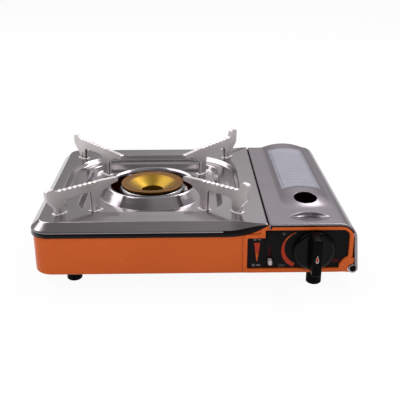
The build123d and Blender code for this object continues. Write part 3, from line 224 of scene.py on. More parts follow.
def steel(name, base, rough, brush=(1, 14, 14), grain=0.035, spread=0.06, tint=0.05, bump=0.03):
    """Rolled stainless: fine lines one way, broad cloudy patches, and faint handling marks."""
    s = Shader(name, Metallic=1.0)
    lines = s.noise(0.9, 4, 0.65, brush)
    cloud = s.noise(0.02, 3, 0.6, (1, 1, 1), 7)
    marks = s.noise(0.16, 5, 0.75, (1, 1, 1), 31)
    shade = s.math("MULTIPLY_ADD", lines, tint, 1 - tint / 2)
    patchy = s.math("MULTIPLY", shade, s.remap(cloud, 1 - tint, 1 + tint, 0.3, 0.7))
    s.set("Base Color", s.mix(1.0, base, s.node("ShaderNodeCombineColor", _0=patchy, _1=patchy, _2=patchy).outputs[0],
                              "MULTIPLY"))
    wear = s.ramp(marks, (0.52, 0.0), (0.74, 1.0))
    level = s.math("MULTIPLY_ADD", cloud, spread, rough - spread / 2)
    level = s.math("ADD", level, s.math("MULTIPLY", wear, 0.05))
    s.set("Roughness", s.math("ADD", level, s.math("MULTIPLY", lines, grain)))
    s.bump(lines, bump, 0.00002)
    return s.mat


def enamel(name, base, rough=0.22):
    """Baked enamel with light orange peel; the case's interior, found by its place, is painted near black as shade."""
    s = Shader(name, Roughness=rough)
    peel = s.noise(0.55, 2, 0.5)
    cloud = s.noise(0.015, 2, 0.5, (1, 1, 1), 5)
    dark = tuple(c * 0.93 for c in base)
    light = tuple(min(1, c * 1.05) for c in base)
    # Painted shade: the case's interior under the plate, which lies in shadow, is coloured near black.
    shaded_interior = s.math("MULTIPLY", s.math("GREATER_THAN", s.axis("Z"), 14.4), s.math("LESS_THAN", s.axis("Z"), 40.0))
    for name, half in (("X", 155.0), ("Y", 120.0)):
        shaded_interior = s.math("MULTIPLY", shaded_interior, s.math("LESS_THAN", s.math("ABSOLUTE", s.axis(name)), half))
    s.set("Base Color", s.mix(shaded_interior, s.mix(cloud, dark, light), (0.012, 0.009, 0.009)))
    s.set("Roughness", s.remap(s.noise(0.08, 4, 0.7, (1, 1, 1), 11), rough - 0.05, rough + 0.09, 0.3, 0.7))
    s.bump(peel, 0.03, 0.00005)
    s.bsdf.inputs["Specular IOR Level"].default_value = 0.14
    return s.mat


def moulded(name, base, rough, sparkle=0.04, grain=1.6, level=0.5):
    """Moulded plastic or rubber: fine texture, slight shade changes and rubbed spots."""
    s = Shader(name, Roughness=rough)
    fine = s.noise(grain, 3, 0.6)
    broad = s.noise(0.05, 3, 0.6, (1, 1, 1), 3)
    s.set("Base Color", s.mix(broad, tuple(c * 0.88 for c in base), tuple(min(1, c * 1.15) for c in base)))
    s.set("Roughness", s.remap(broad, rough - sparkle, rough + sparkle, 0.3, 0.7))
    s.bump(fine, 0.12, 0.00008)
    s.bsdf.inputs["Specular IOR Level"].default_value = level
    return s.mat


def brass():
    """Turned brass: fine rings from the tool, and a heat-browned outer band round the burner axis."""
    s = Shader("turned_brass", Metallic=1.0)
    centre = [-v * 1000 for v in at(BURNER.x, BURNER.y, 0)]
    place = s.node("ShaderNodeMapping", Vector=s.place, Location=centre, Scale=(1, 1, 0)).outputs[0]
    radius = s.node("ShaderNodeVectorMath", {"operation": "LENGTH"}, _0=place).outputs["Value"]
    rings = s.node("ShaderNodeTexNoise", {"noise_dimensions": "1D"}, W=radius, Scale=3.0, Detail=3.0).outputs["Fac"]
    blotch = s.noise(0.07, 4, 0.65, (1, 1, 1), 9)
    band = s.remap(radius, 0.0, 1.0, 23.5, 31.5)
    hot = s.mix(blotch, (0.20, 0.08, 0.014), (0.27, 0.12, 0.028))
    cool = s.mix(blotch, (0.275, 0.158, 0.015), (0.37, 0.228, 0.028))
    shade = s.mix(band, cool, hot)
    s.set("Base Color", s.mix(s.math("MULTIPLY", rings, 0.25), shade, (0.14, 0.09, 0.03)))
    s.set("Roughness", s.remap(blotch, 0.36, 0.5, 0.3, 0.7))
    s.bump(rings, 0.15, 0.00005)
    return s.mat


MAT = {
    "polished": steel("polished_stainless", (0.335, 0.306, 0.322), 0.15, (1, 16, 16)),
    "lid_steel": steel("lid_stainless", (0.28, 0.246, 0.274), 0.22, (14, 1, 14), 0.03, 0.05, 0.05, 0.015),
    # Near-black steel: a painted dark reflection on the plate's skirt, and painted shadow on the lid's lip.
    "skirt": steel("skirt_painted_dark_reflection", (0.0085, 0.0075, 0.0082), 0.2, (1, 1, 16)),
    "support": steel("support_stainless", (0.72, 0.675, 0.675), 0.5, (3, 3, 3), 0.1, 0.12, 0.14, 0.1),
    "support_foot": steel("support_foot_steel", (0.62, 0.59, 0.59), 0.42, (4, 4, 4), 0.06, 0.1, 0.12, 0.06),
    "zinc": steel("zinc_plated_steel", (0.50, 0.50, 0.51), 0.32, (5, 5, 5), 0.05, 0.12, 0.14, 0.06),
    "bright": steel("bright_stainless", (0.44, 0.42, 0.43), 0.16, (8, 8, 8), 0.03, 0.06, 0.06, 0.03),
    "shell": steel("drawn_stainless", (0.40, 0.375, 0.385), 0.2, (6, 6, 6), 0.03, 0.06, 0.06, 0.03),
    "cast": steel("die_cast_alloy", (0.42, 0.42, 0.43), 0.5, (3, 3, 3), 0.1, 0.1, 0.15, 0.3),
    "orange": enamel("orange_enamel", (0.55, 0.098, 0.015)),
    "panel": moulded("panel_black", (0.006, 0.005, 0.0056), 0.5, 0.05, 2.0, 0.06),
    "knob": moulded("knob_black", (0.0018, 0.0017, 0.002), 0.3, 0.05, 1.4, 0.04),
    "dial": moulded("dial_black", (0.0012, 0.0012, 0.0014), 0.14, 0.04, 1.4, 0.11),
    "rubber": moulded("rubber_black", (0.003, 0.003, 0.003), 0.7, 0.08, 1.0, 0.05),
    "oxide": moulded("blackened_steel", (0.002, 0.002, 0.0025), 0.45, 0.08, 1.0, 0.04),
    "lever_red": moulded("lever_red", (0.035, 0.002, 0.003), 0.35, 0.05, 1.4, 0.1),
    "lever_pale": moulded("lever_pale", (0.50, 0.43, 0.44), 0.4, 0.05, 1.4, 0.3),
    "ceramic": moulded("glazed_ceramic", (0.78, 0.74, 0.68), 0.22, 0.05, 0.8),
    "black_plastic": moulded("igniter_plastic", (0.016, 0.016, 0.018), 0.45, 0.06, 1.2, 0.3),
    "sleeve": moulded("lead_sleeve", (0.62, 0.58, 0.50), 0.5, 0.05, 0.7),
    "label": moulded("label_plate", (0.255, 0.25, 0.295), 0.38, 0.05, 0.5, 0.3),
    "print_red": moulded("print_red", (0.34, 0.032, 0.014), 0.5, 0.04, 1.2, 0.1),
    "print_amber": moulded("print_amber", (0.46, 0.09, 0.012), 0.5, 0.04, 1.2, 0.1),
    "print_pale": moulded("print_pale", (0.33, 0.30, 0.31), 0.5, 0.04, 1.2, 0.1),
    "print_grey": moulded("print_grey", (0.11, 0.10, 0.105), 0.5, 0.04, 1.2, 0.08),
    "print_dim": moulded("print_dim", (0.045, 0.048, 0.042), 0.5, 0.04, 1.2, 0.06),
    # Darker red print, used for the word OFF.
    "print_deep_red": moulded("print_deep_red", (0.13, 0.008, 0.012), 0.5, 0.04, 1.2, 0.06),
    "print_dark": moulded("print_dark", (0.115, 0.105, 0.13), 0.5, 0.04, 1.2, 0.1),
    "brass": brass(),
    # Painted shade: dark brown for the wall behind the head's slots and the floor of its bore, which lie in shadow.
    "gap_shade": moulded("burner_gap", (0.035, 0.022, 0.010), 0.6, 0.05, 1.0, 0.2),
}
SLOT_LOOK = {
    "orange_enamel": "orange", "polished_steel": "polished", "support_steel": "support", "zinc_steel": "zinc",
    "brass": "brass", "black_panel": "panel", "black_knob": "knob", "red_lever": "lever_red",
    "black_oxide": "oxide", "die_cast": "cast", "ceramic": "ceramic", "igniter_plastic": "black_plastic",
    "lead_sleeve": "sleeve", "label_plate": "label", "seal_rubber": "rubber", "foot_rubber": "rubber",
}


def dress_nodes():
    """Give every CAD node the material of its slot."""
    slots = {piece["node"]: piece["material_slot"] for piece in frame["record"]["subparts"]}
    for node, slot in slots.items():
        obj = bpy.data.objects[node]
        look = MAT["bright" if node == "burner_bowl" else SLOT_LOOK[slot]]
        if not obj.material_slots:
            obj.data.materials.append(look)
        for holder in obj.material_slots:
            holder.link = "OBJECT"
            holder.material = look


# ---- Top plate -----------------------------------------------------------------------------------
def smooth(t):
    t = max(0.0, min(1.0, t))
    return t * t * (3 - 2 * t)


def line(p, q, step):
    count = max(2, ceil((Vector(q) - Vector(p)).length / step))
    return [Vector(p).lerp(Vector(q), n / count) for n in range(count)]


def plate_border():
    """Points and outward normals round the plate, from the seam's front corner clockwise."""
    corner = 21.0
    out = []
    inner_x = LEFT + corner
    inner_y = SIDE_Y - corner
    out += [(p, Vector((0, -1))) for p in line((SEAM, -SIDE_Y), (inner_x, -SIDE_Y), 2.0)]
    out += [(Vector((inner_x - corner * sin(a), -inner_y - corner * cos(a))), Vector((-sin(a), -cos(a))))
            for a in (n / 26 * pi / 2 for n in range(26))]
    out += [(p, Vector((-1, 0))) for p in line((LEFT, -inner_y), (LEFT, inner_y), 2.5)]
    out += [(Vector((inner_x - corner * cos(a), inner_y + corner * sin(a))), Vector((-cos(a), sin(a))))
            for a in (n / 26 * pi / 2 for n in range(26))]
    out += [(p, Vector((0, 1))) for p in line((inner_x, SIDE_Y), (SEAM, SIDE_Y), 2.0)]
    out += [(p, Vector((1, 0))) for p in line((SEAM, SIDE_Y), (SEAM, -SIDE_Y), 2.5)]
    return out


def squircle(half, corner, way):
    """Distance from the burner axis to a square with round corners, along way."""
    x, y = abs(way.x), abs(way.y)
    core = half - corner
    reach = half / max(x, y)
    if min(x, y) * reach > core:
        along = (x + y) * core
        reach = along + sqrt(max(0.0, along ** 2 - 2 * core ** 2 + corner ** 2))
    return reach


def skirt_low(x):
    """Height of the skirt's lower edge, which climbs towards the seam."""
    t = (x - (SEAM - 43)) / 43
    return 58.2 + 12.0 * max(0.0, t) ** 2.3


def top_plate():
    """Plate's outer face, from the skirt's lower edge over the bevel and basin to the ring's inner edge."""
    border = plate_border()
    ways = [(p - BURNER.xy).normalized() for p, _ in border]
    seam = [n.x > 0.5 for _, n in border]
    bevel = rounded_line([(0, 60, 0), (0, 64.2, 2.0), (8.7, DECK, 1.2), (20, DECK, 0)], 5)
    rows = []

    def ring(place):
        rows.append([place(i) for i in range(len(border))])

    ring(lambda i: (*border[i][0], DECK - 6 if seam[i] else min(skirt_low(border[i][0].x), 70.4)))
    last = len(bevel) - 3
    for k, (inset, z) in enumerate(bevel[1:-1]):
        def spot(i, inset=inset, z=z, turn=k / last * pi / 2):
            p, n = border[i]
            if seam[i]:
                return (SEAM - 1.2 * (1 - cos(turn)), p.y, DECK - 1.2 + 1.2 * sin(turn))
            size = 0.14 + 0.86 * smooth((SEAM - p.x) / 40)
            return (p.x - n.x * inset * size, p.y - n.y * inset * size, DECK - (DECK - z) * size)
        ring(spot)
    hollow = [
        (108.0, 73.0, DECK), *[(s, 70 - (105 - s), z) for s, z in
                               rounded_line([(107.5, DECK, 0), (104.6, DECK, 1.6), (100.3, 67.0, 4), (94, 67.15, 0)],
                                            6)[1:-1]]]
    hollow += [(s, 29 + max(0, s - 82) / 18 * 36 if s > 82 else 29 - (82 - s), z) for s, z in
               rounded_line([(93, 67.2, 0), (81.6, 67.6, 1.6), (77.4, BASIN_FLOOR, 3.2), (70, BASIN_FLOOR, 0)],
                            6)[1:-1]]
    for half, corner, z in hollow:
        ring(lambda i, h=half, c=corner, z=z: (*(BURNER.xy + ways[i] * squircle(h, min(c, h), ways[i])), z))
    crown = rounded_line([(66, BASIN_FLOOR, 0), (64.4, BASIN_FLOOR, 2.6), (59.4, 66.9, 8), (53.8, 73.1, 3.4),
                          (50.4, 71.0, 2.0), (50.4, 69.0, 0)], 7)
    for r, z in crown:
        ring(lambda i, r=r, z=z: (*(BURNER.xy + ways[i] * r), z))
    faces = grid(rows, closed=True)
    count = len(border)
    groups = []
    # The skirt, the bevel's lower edge, and more of the bevel near the seam take the near-black steel: a painted dark
    # reflection.
    for n in range(len(faces)):
        i, j = divmod(n, count)
        p, _ = border[j]
        upright = i < 2 or (p.x > SEAM - 46 and i < 6)
        groups.append(1 if upright and not seam[j] else 0)
    obj = add("top_plate_skin", flat(rows), faces, [MAT["polished"], MAT["skirt"]],
              replaces=["top_plate"], groups=groups)
    solidify(obj)


# ---- Lid -----------------------------------------------------------------------------------------
LID_LEFT, LID_Y = 81.0, 134.0
HOLE = Vector((129.0, -68.0))
HOLE_R = 13.2
SCOOP = Vector((126.6, -114.5))
SCOOP_X, SCOOP_Y = 23.5, 13.2          # half its length and half its width
HUMP_HALF, HUMP_RISE = 28.0, 5.9


def hump(x, y):
    """Height of the lid above its plane: hump over the cartridge and finger scoop."""
    radius = (HUMP_HALF ** 2 + HUMP_RISE ** 2) / (2 * HUMP_RISE)
    across = x - AXIS_X
    arc = sqrt(max(0.0, radius ** 2 - across ** 2)) - (radius - HUMP_RISE) if abs(across) < 45 else -9.0
    full = smooth((y + 98) / 38)
    arc = arc * full - 0.6 * (1 - full)
    height = 0.5 * (arc + sqrt(arc * arc + 0.55)) - 0.035
    t = (x - SCOOP.x) / SCOOP_X
    if abs(t) < 1:
        half = SCOOP_Y * (1 - t * t)
        s = (SCOOP.y + half - y) / (2 * half)
        if 0 < s < 1:
            height -= 4.0 * (1 - t * t) ** 0.8 * smooth(s * 2 * half / 2.2) * (1 - s) ** 1.1
    return height if abs(height) > 1e-4 else 0.0


def lid_line():
    """Lid's outer profile in X and Z with its outward normals."""
    pts = rounded_line([(LID_LEFT, DECK - 5, 0), (LID_LEFT, DECK, 1.2), (100, DECK, 0)], 5)[:-1]
    last = pts[-1].x
    count = 118
    pts += [Vector((last + (156.5 - last) * n / count, DECK)) for n in range(1, count + 1)]
    pts += [Vector((156.5 + 18 * sin(a), 54 + 18 * cos(a))) for a in (radians(90 - 5.2) * n / 18 for n in range(1, 19))]
    low = Vector((PIN_X + ROLL_R, PIN_Z))
    high = pts[-1].copy()
    pts += [high.lerp(low, n / 10) for n in range(1, 11)]
    pts += [Vector((PIN_X + ROLL_R * cos(a), PIN_Z - ROLL_R * sin(a))) for a in (radians(15 * n) for n in range(1, 20))]
    normals = []
    for n in range(len(pts)):
        way = (pts[min(n + 1, len(pts) - 1)] - pts[max(n - 1, 0)]).normalized()
        normals.append(Vector((-way.y, way.x)))
    return pts, normals


def lid():
    """Lid's outer face as a grid, with finer rings run in round the hole and the finger scoop."""
    pts, normals = lid_line()
    ends = rounded_line([(3.2, 0, 0), (0, 0, 1.1), (0, 6, 0)], 4)
    levels = [(-LID_Y + v, u) for u, v in ends[:-1]]
    y = levels[-1][0]
    end = -y
    middle = []
    while y < end - 0.6:
        y += 1.0 if y < -94 else 1.4 if y < -20 else 3.0
        if y < end - 0.3:
            middle.append((y, 0.0))
    levels = levels + middle + [(-v, u) for v, u in levels[::-1]]
    rows = []
    top = [n for n, p in enumerate(pts) if abs(p.y - DECK) < 1e-6]
    for y, inset in levels:
        row = []
        for n, (p, normal) in enumerate(zip(pts, normals)):
            height = hump(p.x, y) if n in top[1:] else 0.0
            q = p - normal * inset
            row.append((q.x, y, q.y + height))
        rows.append(row)
    count = len(pts)
    verts = flat(rows)
    faces = []
    open_cells = set()

    def patch(centre, half_x, half_y, edge, steps, closed):
        """Replace the grid round centre by rings that run in to a curve given by its angle."""
        cols = [n for n in top if abs(pts[n].x - centre.x) <= half_x]
        lines = [n for n, (y, _) in enumerate(levels) if abs(y - centre.y) <= half_y]
        u0, u1, v0, v1 = cols[0], cols[-1], lines[0], lines[-1]
        open_cells.update((i, j) for i in range(v0, v1) for j in range(u0, u1))
        frame_ids = [v0 * count + j for j in range(u0, u1)] + [i * count + u1 for i in range(v0, v1)]
        frame_ids += [v1 * count + j for j in range(u1, u0, -1)] + [i * count + u0 for i in range(v1, v0, -1)]
        previous = frame_ids
        for step in steps:
            now = []
            for k in frame_ids:
                border = Vector(verts[k][:2])
                away = border - centre
                angle = atan2(away.y / half_y, away.x / half_x)
                target = centre + edge(angle)
                spot = border.lerp(target, step) if step <= 1 else centre.lerp(target, 2 - step)
                now.append(len(verts))
                verts.append((spot.x, spot.y, DECK + hump(spot.x, spot.y)))
            for n in range(len(now)):
                m = (n + 1) % len(now)
                faces.append((previous[n], previous[m], now[m], now[n]))
            previous = now
        if closed:
            faces.append(tuple(previous))

    def lens(angle):
        return Vector((SCOOP_X * cos(angle), SCOOP_Y * sin(angle) * abs(sin(angle))))

    patch(HOLE, 19.0, 19.0, lambda a: Vector((cos(a), sin(a))) * HOLE_R, [0.25, 0.5, 0.72, 0.88, 0.96, 1.0], False)
    patch(SCOOP, 26.5, 16.0, lens, [0.4, 0.75, 0.93, 1.0, 1.015, 1.04, 1.07, 1.1, 1.14, 1.19, 1.26, 1.34, 1.44,
                                    1.56, 1.7, 1.86, 1.97], True)
    for i in range(len(rows) - 1):
        for j in range(count - 1):
            if (i, j) not in open_cells:
                a = i * count + j
                faces.append((a, a + 1, a + count + 1, a + count))
    # The lowest band of the lid's front lip takes the near-black steel: painted shadow of the gap between lid and case.
    bend_end = next(n for n, p in enumerate(pts) if p.x > 172)
    shaded_lip_faces = {n for n, face in enumerate(faces) if max(face) < 3 * count and min(v % count for v in face) < bend_end}
    groups = [1 if n in shaded_lip_faces and min(faces[n]) < count else 0 for n in range(len(faces))]
    obj = add("lid_skin", verts, faces, [MAT["lid_steel"], MAT["skirt"]], body="lid_body",
              replaces=["lid"], groups=groups)
    solidify(obj)


def label():
    """Data plate on the hump: bare, with a printed border and ruled lines."""
    x0, x1, y0, y1 = AXIS_X - 22.6, AXIS_X + 22.6, -38.0, 111.0
    rows = []
    for i in range(61):
        y = y0 + (y1 - y0) * i / 60
        rows.append([(x0 + (x1 - x0) * j / 24, y, DECK + hump(x0 + (x1 - x0) * j / 24, y) + 0.28) for j in range(25)])
    plate = add("label_plate", flat(rows), grid(rows), [MAT["label"]], body="lid_body",
                replaces=["lid_label"])
    solidify(plate, 0.25)

    def strip(xa, xb, ya, yb):
        nx, ny = max(1, ceil((xb - xa) / 2)), max(1, ceil((yb - ya) / 4))
        cells = [[(xa + (xb - xa) * j / nx, ya + (yb - ya) * i / ny) for j in range(nx + 1)] for i in range(ny + 1)]
        return [[(x, y, DECK + hump(x, y) + 0.31) for x, y in row] for row in cells]

    out, far = 2.5, 3.1
    inks = [strip(x0 + out, x1 - out, y0 + out, y0 + far), strip(x0 + out, x1 - out, y1 - far, y1 - out),
            strip(x0 + out, x0 + far, y0 + out, y1 - out), strip(x1 - far, x1 - out, y0 + out, y1 - out)]
    for n in range(13):
        y = y0 + 14 + n * 9.6
        inks.append(strip(x0 + 7, x1 - 7 - (n * 7 % 5) * 2.4, y, y + 0.45))
    verts, faces = [], []
    for cells in inks:
        base = len(verts)
        faces += [tuple(v + base for v in f) for f in grid(cells)]
        verts += flat(cells)
    add("label_rules", verts, faces, [MAT["print_dark"]], body="lid_body")


# ---- Burner head ---------------------------------------------------------------------------------
def burner_head():
    """Brass head: flat heat-browned band, cone down to the bore, and a comb of slots under its rim."""
    centre = (BURNER.x, BURNER.y, 0)
    profile = rounded_line([(12.6, 55, 0), (13, 63.5, 0.8), (27.6, 72.4, 3.5), (36.8, 73.5, 0.8), (37.25, 72.3, 0.5),
                            (36.6, 71.3, 0.4), (35.4, 70.9, 0), (31.6, 70.9, 0)], 5, 0.3)
    rows = lathe(profile, 144, centre)
    add("burner_crown", flat(rows), grid(rows, closed=True, flip=True), [MAT["brass"]],
        replaces=["burner_head"])
    # A dark sheet behind the slots and another at the bottom of the bore are painted shade.
    wall = lathe([(31.7, 71.0), (31.5, 69.5), (29.0, 69.5)], 144, centre)
    add("burner_gap_wall", flat(wall), grid(wall, closed=True, flip=True), [MAT["gap_shade"]])
    floor = lathe(rounded_line([(0.01, 57.6, 0), (8.6, 57.2, 1.0), (12.4, 56.2, 1.0), (12.7, 54.6, 0)], 4), 64, centre)
    add("burner_floor", flat(floor), grid(floor, closed=True, flip=True), [MAT["gap_shade"]])
    verts, faces = [], []
    section = [(31.4, 71.0), (36.5, 71.3), (35.6, 70.2), (34.6, 69.4), (31.4, 69.4)]
    k = len(section)
    teeth, half = 60, 1.15
    for n in range(teeth):
        base = len(verts)
        a = 2 * pi * (n + 0.5) / teeth
        for side in (-half, half):
            verts += [(BURNER.x + r * cos(a) - side * sin(a), BURNER.y + r * sin(a) + side * cos(a), z)
                      for r, z in section]
        faces.append(tuple(base + i for i in range(k)))
        faces.append(tuple(base + k + i for i in range(k))[::-1])
        faces += [(base + i, base + k + i, base + k + (i + 1) % k, base + (i + 1) % k) for i in range(k)]
    add("burner_teeth", verts, faces, [MAT["brass"]], smooth=False)
    shell = rounded_line([(33.0, 69.45, 0), (37.4, 69.45, 1.6), (38.9, 67.2, 3.0), (42.6, 59.0, 4.0),
                          (44.35, 55.2, 0.8), (43.6, 54.6, 0)], 6, 0.3)
    shell = lathe(shell, 144, centre)
    add("bowl_shell", flat(shell), grid(shell, closed=True, flip=True), [MAT["shell"]])


# ---- Pan supports --------------------------------------------------------------------------------
def support_feet():
    """Rolled rim round each foot plate, just clear of the metal under it, and a shallow rib on each leg."""
    half_u, half_v = 7.8, 4.1
    outline = rounded_rect(-half_u, half_u, -half_v, half_v, 1.3, 5)
    levels = [(0.62, 0.0), (0.45, 0.5), (0.62, 1.0), (1.2, 1.2), (1.72, 1.0), (1.9, 0.5), (1.9, -1.6)]
    for quarter, name in enumerate(("back_right", "back_left", "front_left", "front_right")):
        turn = radians(45 + 90 * quarter)
        way = Vector((cos(turn), sin(turn)))
        across = Vector((-way.y, way.x))
        for reach, height, place in ((135.2, DECK, "outer"), (86.8, BASIN_FLOOR, "inner")):
            rows = []
            for z, grow in levels:
                row = []
                for u, v in outline:
                    scale_u, scale_v = (7.0 + grow) / half_u, (3.3 + grow) / half_v
                    spot = BURNER.xy + way * (reach + u * scale_u) + across * v * scale_v
                    row.append((spot.x, spot.y, height + z))
                rows.append(row)
            faces = grid(rows, closed=True)
            faces.append(tuple(range(len(outline)))[::-1])
            add(f"foot_rim_{name}_{place}", flat(rows), faces, [MAT["support_foot"]])
            low = height + 2.4
            high = DECK + (9.5 if place == "outer" else 6.5)
            for side in (-1, 1):
                rows = []
                for step in range(13):
                    t = step / 12
                    width = 1.25 * min(1.0, 2.6 * sqrt(max(0.0, t * (1 - t))))
                    base = BURNER.xy + way * reach
                    rows.append([(base.x + way.x * width * cos(a) + across.x * side * (2.5 + 0.55 * sin(a)),
                                  base.y + way.y * width * cos(a) + across.y * side * (2.5 + 0.55 * sin(a)),
                                  low + (high - low) * t) for a in (pi * k / 8 for k in range(9))])
                add(f"leg_rib_{name}_{place}_{'ab'[side > 0]}", flat(rows), grid(rows, flip=side > 0),
                    [MAT["support_foot"]])


# ---- Knob, lever and panel marks -----------------------------------------------------------------
def prism_y(loop, levels):
    """Rows of an X, Z loop set at several (y, scale about the loop's middle) levels."""
    mid = sum((Vector(p) for p in loop), Vector((0, 0))) / len(loop)
    return [[(mid.x + (p[0] - mid.x) * kx, y, mid.y + (p[1] - mid.y) * kz) for p in loop] for y, kx, kz in levels]


def rounded_rect(x0, x1, z0, z1, r, steps=6):
    corners = [(x1 - r, z0 + r, -pi / 2), (x1 - r, z1 - r, 0), (x0 + r, z1 - r, pi / 2), (x0 + r, z0 + r, pi)]
    return [(cx + r * cos(a + pi / 2 * n / steps), cz + r * sin(a + pi / 2 * n / steps))
            for cx, cz, a in corners for n in range(steps + 1)]


def lofted(name, rows, mat, body):
    """Closed rows joined into a skin, with a face over the last row."""
    faces = grid(rows, closed=True)
    faces.append(tuple(range((len(rows) - 1) * len(rows[0]), len(rows) * len(rows[0]))))
    add(name, flat(rows), faces, [mat], body=body)


def knob():
    """Dial with a rounded edge and an upright grip bar."""
    face = rounded_line([(8.0, -132.0, 0), (8.0, -133.0, 0.3), (21.0, -133.4, 0.3), (21.9, -134.2, 0.8),
                         (21.9, -137.4, 3.4), (19.2, -139.0, 1.0), (17.6, -139.2, 0.8), (0.01, -139.4, 0)], 8, 0.3)
    rows = lathe(face, 96, (AXIS_X, 0, AXIS_Z), axis="Y")
    add("knob_dial", flat(rows), grid(rows, closed=True), [MAT["dial"]], body="knob_body",
        replaces=["knob"])
    loop = []
    for x, z in rounded_rect(-5.4, 5.4, -21.3, 21.3, 3.6, 8):
        waist = 1 - 0.10 * (1 - min(1.0, abs(z) / 17.0) ** 2)
        loop.append((AXIS_X + x * waist, AXIS_Z + z))
    levels = [(-138.6, 1.12, 1.0), (-139.6, 1.04, 0.998), (-141.0, 1.0, 0.995), (-148.0, 0.98, 0.985)]
    levels += [(-154.4 - 1.6 * sin(a), 0.96 - 0.14 * (1 - cos(a)), 0.975 - 0.04 * (1 - cos(a)))
               for a in (radians(15 * n) for n in range(7))]
    levels += [(-156.0, 0.6, 0.86)]
    lofted("knob_grip", prism_y(loop, levels), MAT["knob"], "knob_body")


def drop_outline(scale):
    """Drop 9.2 mm high at full scale, its tip up."""
    turns = [2 * pi * n / 40 for n in range(40)]
    return [(scale * 2.3 * sin(a) * sin(a / 2) ** 1.3, scale * (4.6 * cos(a) - 0.3)) for a in turns]


def sheet_y(name, loop, y, mat, body, thick=0.12):
    """Thin printed shape on a face that looks to the front."""
    count = len(loop)
    verts = [(x, y, z) for x, z in loop] + [(x, y - thick, z) for x, z in loop]
    faces = [tuple(range(count, 2 * count))]
    faces += [(i, (i + 1) % count, count + (i + 1) % count, count + i) for i in range(count)]
    add(name, verts, faces, [mat], body=body, smooth=False)


def droplet():
    """Red drop with a pale edge in the middle of the grip's face."""
    for name, scale, y, mat in (("drop_edge", 1.0, -156.0, "print_pale"), ("drop_core", 0.68, -156.1, "print_red")):
        loop = [(AXIS_X + x, AXIS_Z + z) for x, z in drop_outline(scale)]
        sheet_y(name, loop, y + 0.02, MAT[mat], "knob_body", 0.06)


def panel_marks():
    """Wedge for the lock, crescent for the flame, plain ticks, the words ON and OFF, and the raised stop."""
    face = PANEL_Y - 0.02
    top, tip = (66.2, 72.2, 50.2), (69.4, 28.2)

    def wedge(z):
        t = (z - tip[1]) / (top[2] - tip[1])
        return tip[0] + (top[0] - tip[0]) * t - 0.25, tip[0] + (top[1] - tip[0]) * t + 0.25

    for name, z0, z1, mat in (("wedge_low", 28.2, 37.5, "print_amber"), ("wedge_high", 37.5, 50.2, "print_red")):
        a, b = wedge(z0), wedge(z1)
        sheet_y(name, [(a[0], z0), (a[1], z0), (b[1], z1), (b[0], z1)], face, MAT[mat], "stove")
    ends = [Vector((109.7, 61.5)), Vector((96.7, 40.3)), Vector((109.4, 23.6))]
    ax, az = ends[0]
    bx, bz = ends[1]
    cx, cz = ends[2]
    d = 2 * (ax * (bz - cz) + bx * (cz - az) + cx * (az - bz))
    ux = ((ax ** 2 + az ** 2) * (bz - cz) + (bx ** 2 + bz ** 2) * (cz - az) + (cx ** 2 + cz ** 2) * (az - bz)) / d
    uz = ((ax ** 2 + az ** 2) * (cx - bx) + (bx ** 2 + bz ** 2) * (ax - cx) + (cx ** 2 + cz ** 2) * (bx - ax)) / d
    centre = Vector((ux, uz))
    radius = (ends[0] - centre).length
    first = atan2(*(ends[0] - centre).yx) % (2 * pi)
    last = atan2(*(ends[2] - centre).yx) % (2 * pi)
    outer, inner = [], []
    for n in range(33):
        t = n / 32
        a = first + (last - first) * t
        half = 0.25 + 2.0 * smooth(t / 0.8)
        outer.append(centre + Vector((cos(a), sin(a))) * (radius + half))
        inner.append(centre + Vector((cos(a - 0.03 * t), sin(a - 0.03 * t))) * (radius - half))
    for n in range(32):
        mat = "print_amber" if n < 9 else "print_red"
        sheet_y(f"crescent_{n:02d}", [outer[n], outer[n + 1], inner[n + 1], inner[n]][::-1], face, MAT[mat], "stove")
    ticks = [(65.2, 67.9, 52.8, 55.0), (69.6, 73.0, 53.2, 54.6), (64.2, 67.4, 22.7, 25.4), (68.6, 73.2, 23.0, 25.0),
             (95.6, 98.8, 58.8, 61.6), (105.6, 108.6, 21.4, 22.6)]
    for n, (x0, x1, z0, z1) in enumerate(ticks):
        ink = "print_dim" if n > 3 else "print_grey"
        sheet_y(f"tick_{n}", rounded_rect(x0, x1, z0, z1, 0.4, 2), face, MAT[ink], "stove")
    words = [("OFF", 149.4, 26.9, "print_deep_red"), ("ON", 92.4, 21.9, "print_grey")]
    for word, x, z, mat in words:
        data = bpy.data.curves.new(f"mark_{word}", "FONT")
        data.body = word
        data.size = 0.0046 if word == "OFF" else 0.0043
        data.extrude = 0.00004
        data.materials.append(MAT[mat])
        obj = bpy.data.objects.new(f"mark_{word}", data)
        bpy.context.scene.collection.objects.link(obj)
        obj.location = at(x, face - 0.05, z)
        obj.rotation_euler = (pi / 2, 0, 0)
        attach(obj, "stove")
    loop = rounded_rect(78.2, 92.4, 53.0, 64.2, 0.8, 4)
    lofted("panel_stop", prism_y(loop, [(-131.4, 1, 1), (-132.1, 1, 1), (-132.4, 0.97, 0.96)]), MAT["panel"], "stove")


def hinge_cheeks():
    """Corner of the case's end walls that runs in close round the lid's rolled edge."""
    arc = [radians(88 + 6 * n) for n in range(25)]
    near, far, lowest = ROLL_R + 0.45, 12.2, 15.9
    inner = [(PIN_X + near * cos(a), PIN_Z + near * sin(a)) for a in arc]
    outer = [(PIN_X + far * cos(a), max(PIN_Z + far * sin(a), lowest)) for a in reversed(arc)]
    loop = inner + outer
    count = len(loop)
    for name, face, back in (("front", -133.3, -131.6), ("back", 133.3, 131.6)):
        verts = [(x, y, z) for y in (face, back) for x, z in loop]
        half = count // 2
        faces = [(n, n + 1, count - 2 - n, count - 1 - n) for n in range(half - 1)]
        faces += [tuple(v + count for v in f[::-1]) for f in faces]
        faces += [(n, n + count, (n + 1) % count + count, (n + 1) % count) for n in range(count)]
        if name == "back":
            faces = [f[::-1] for f in faces]
        add(f"hinge_cheek_{name}", verts, faces, [MAT["orange"]], smooth=False)


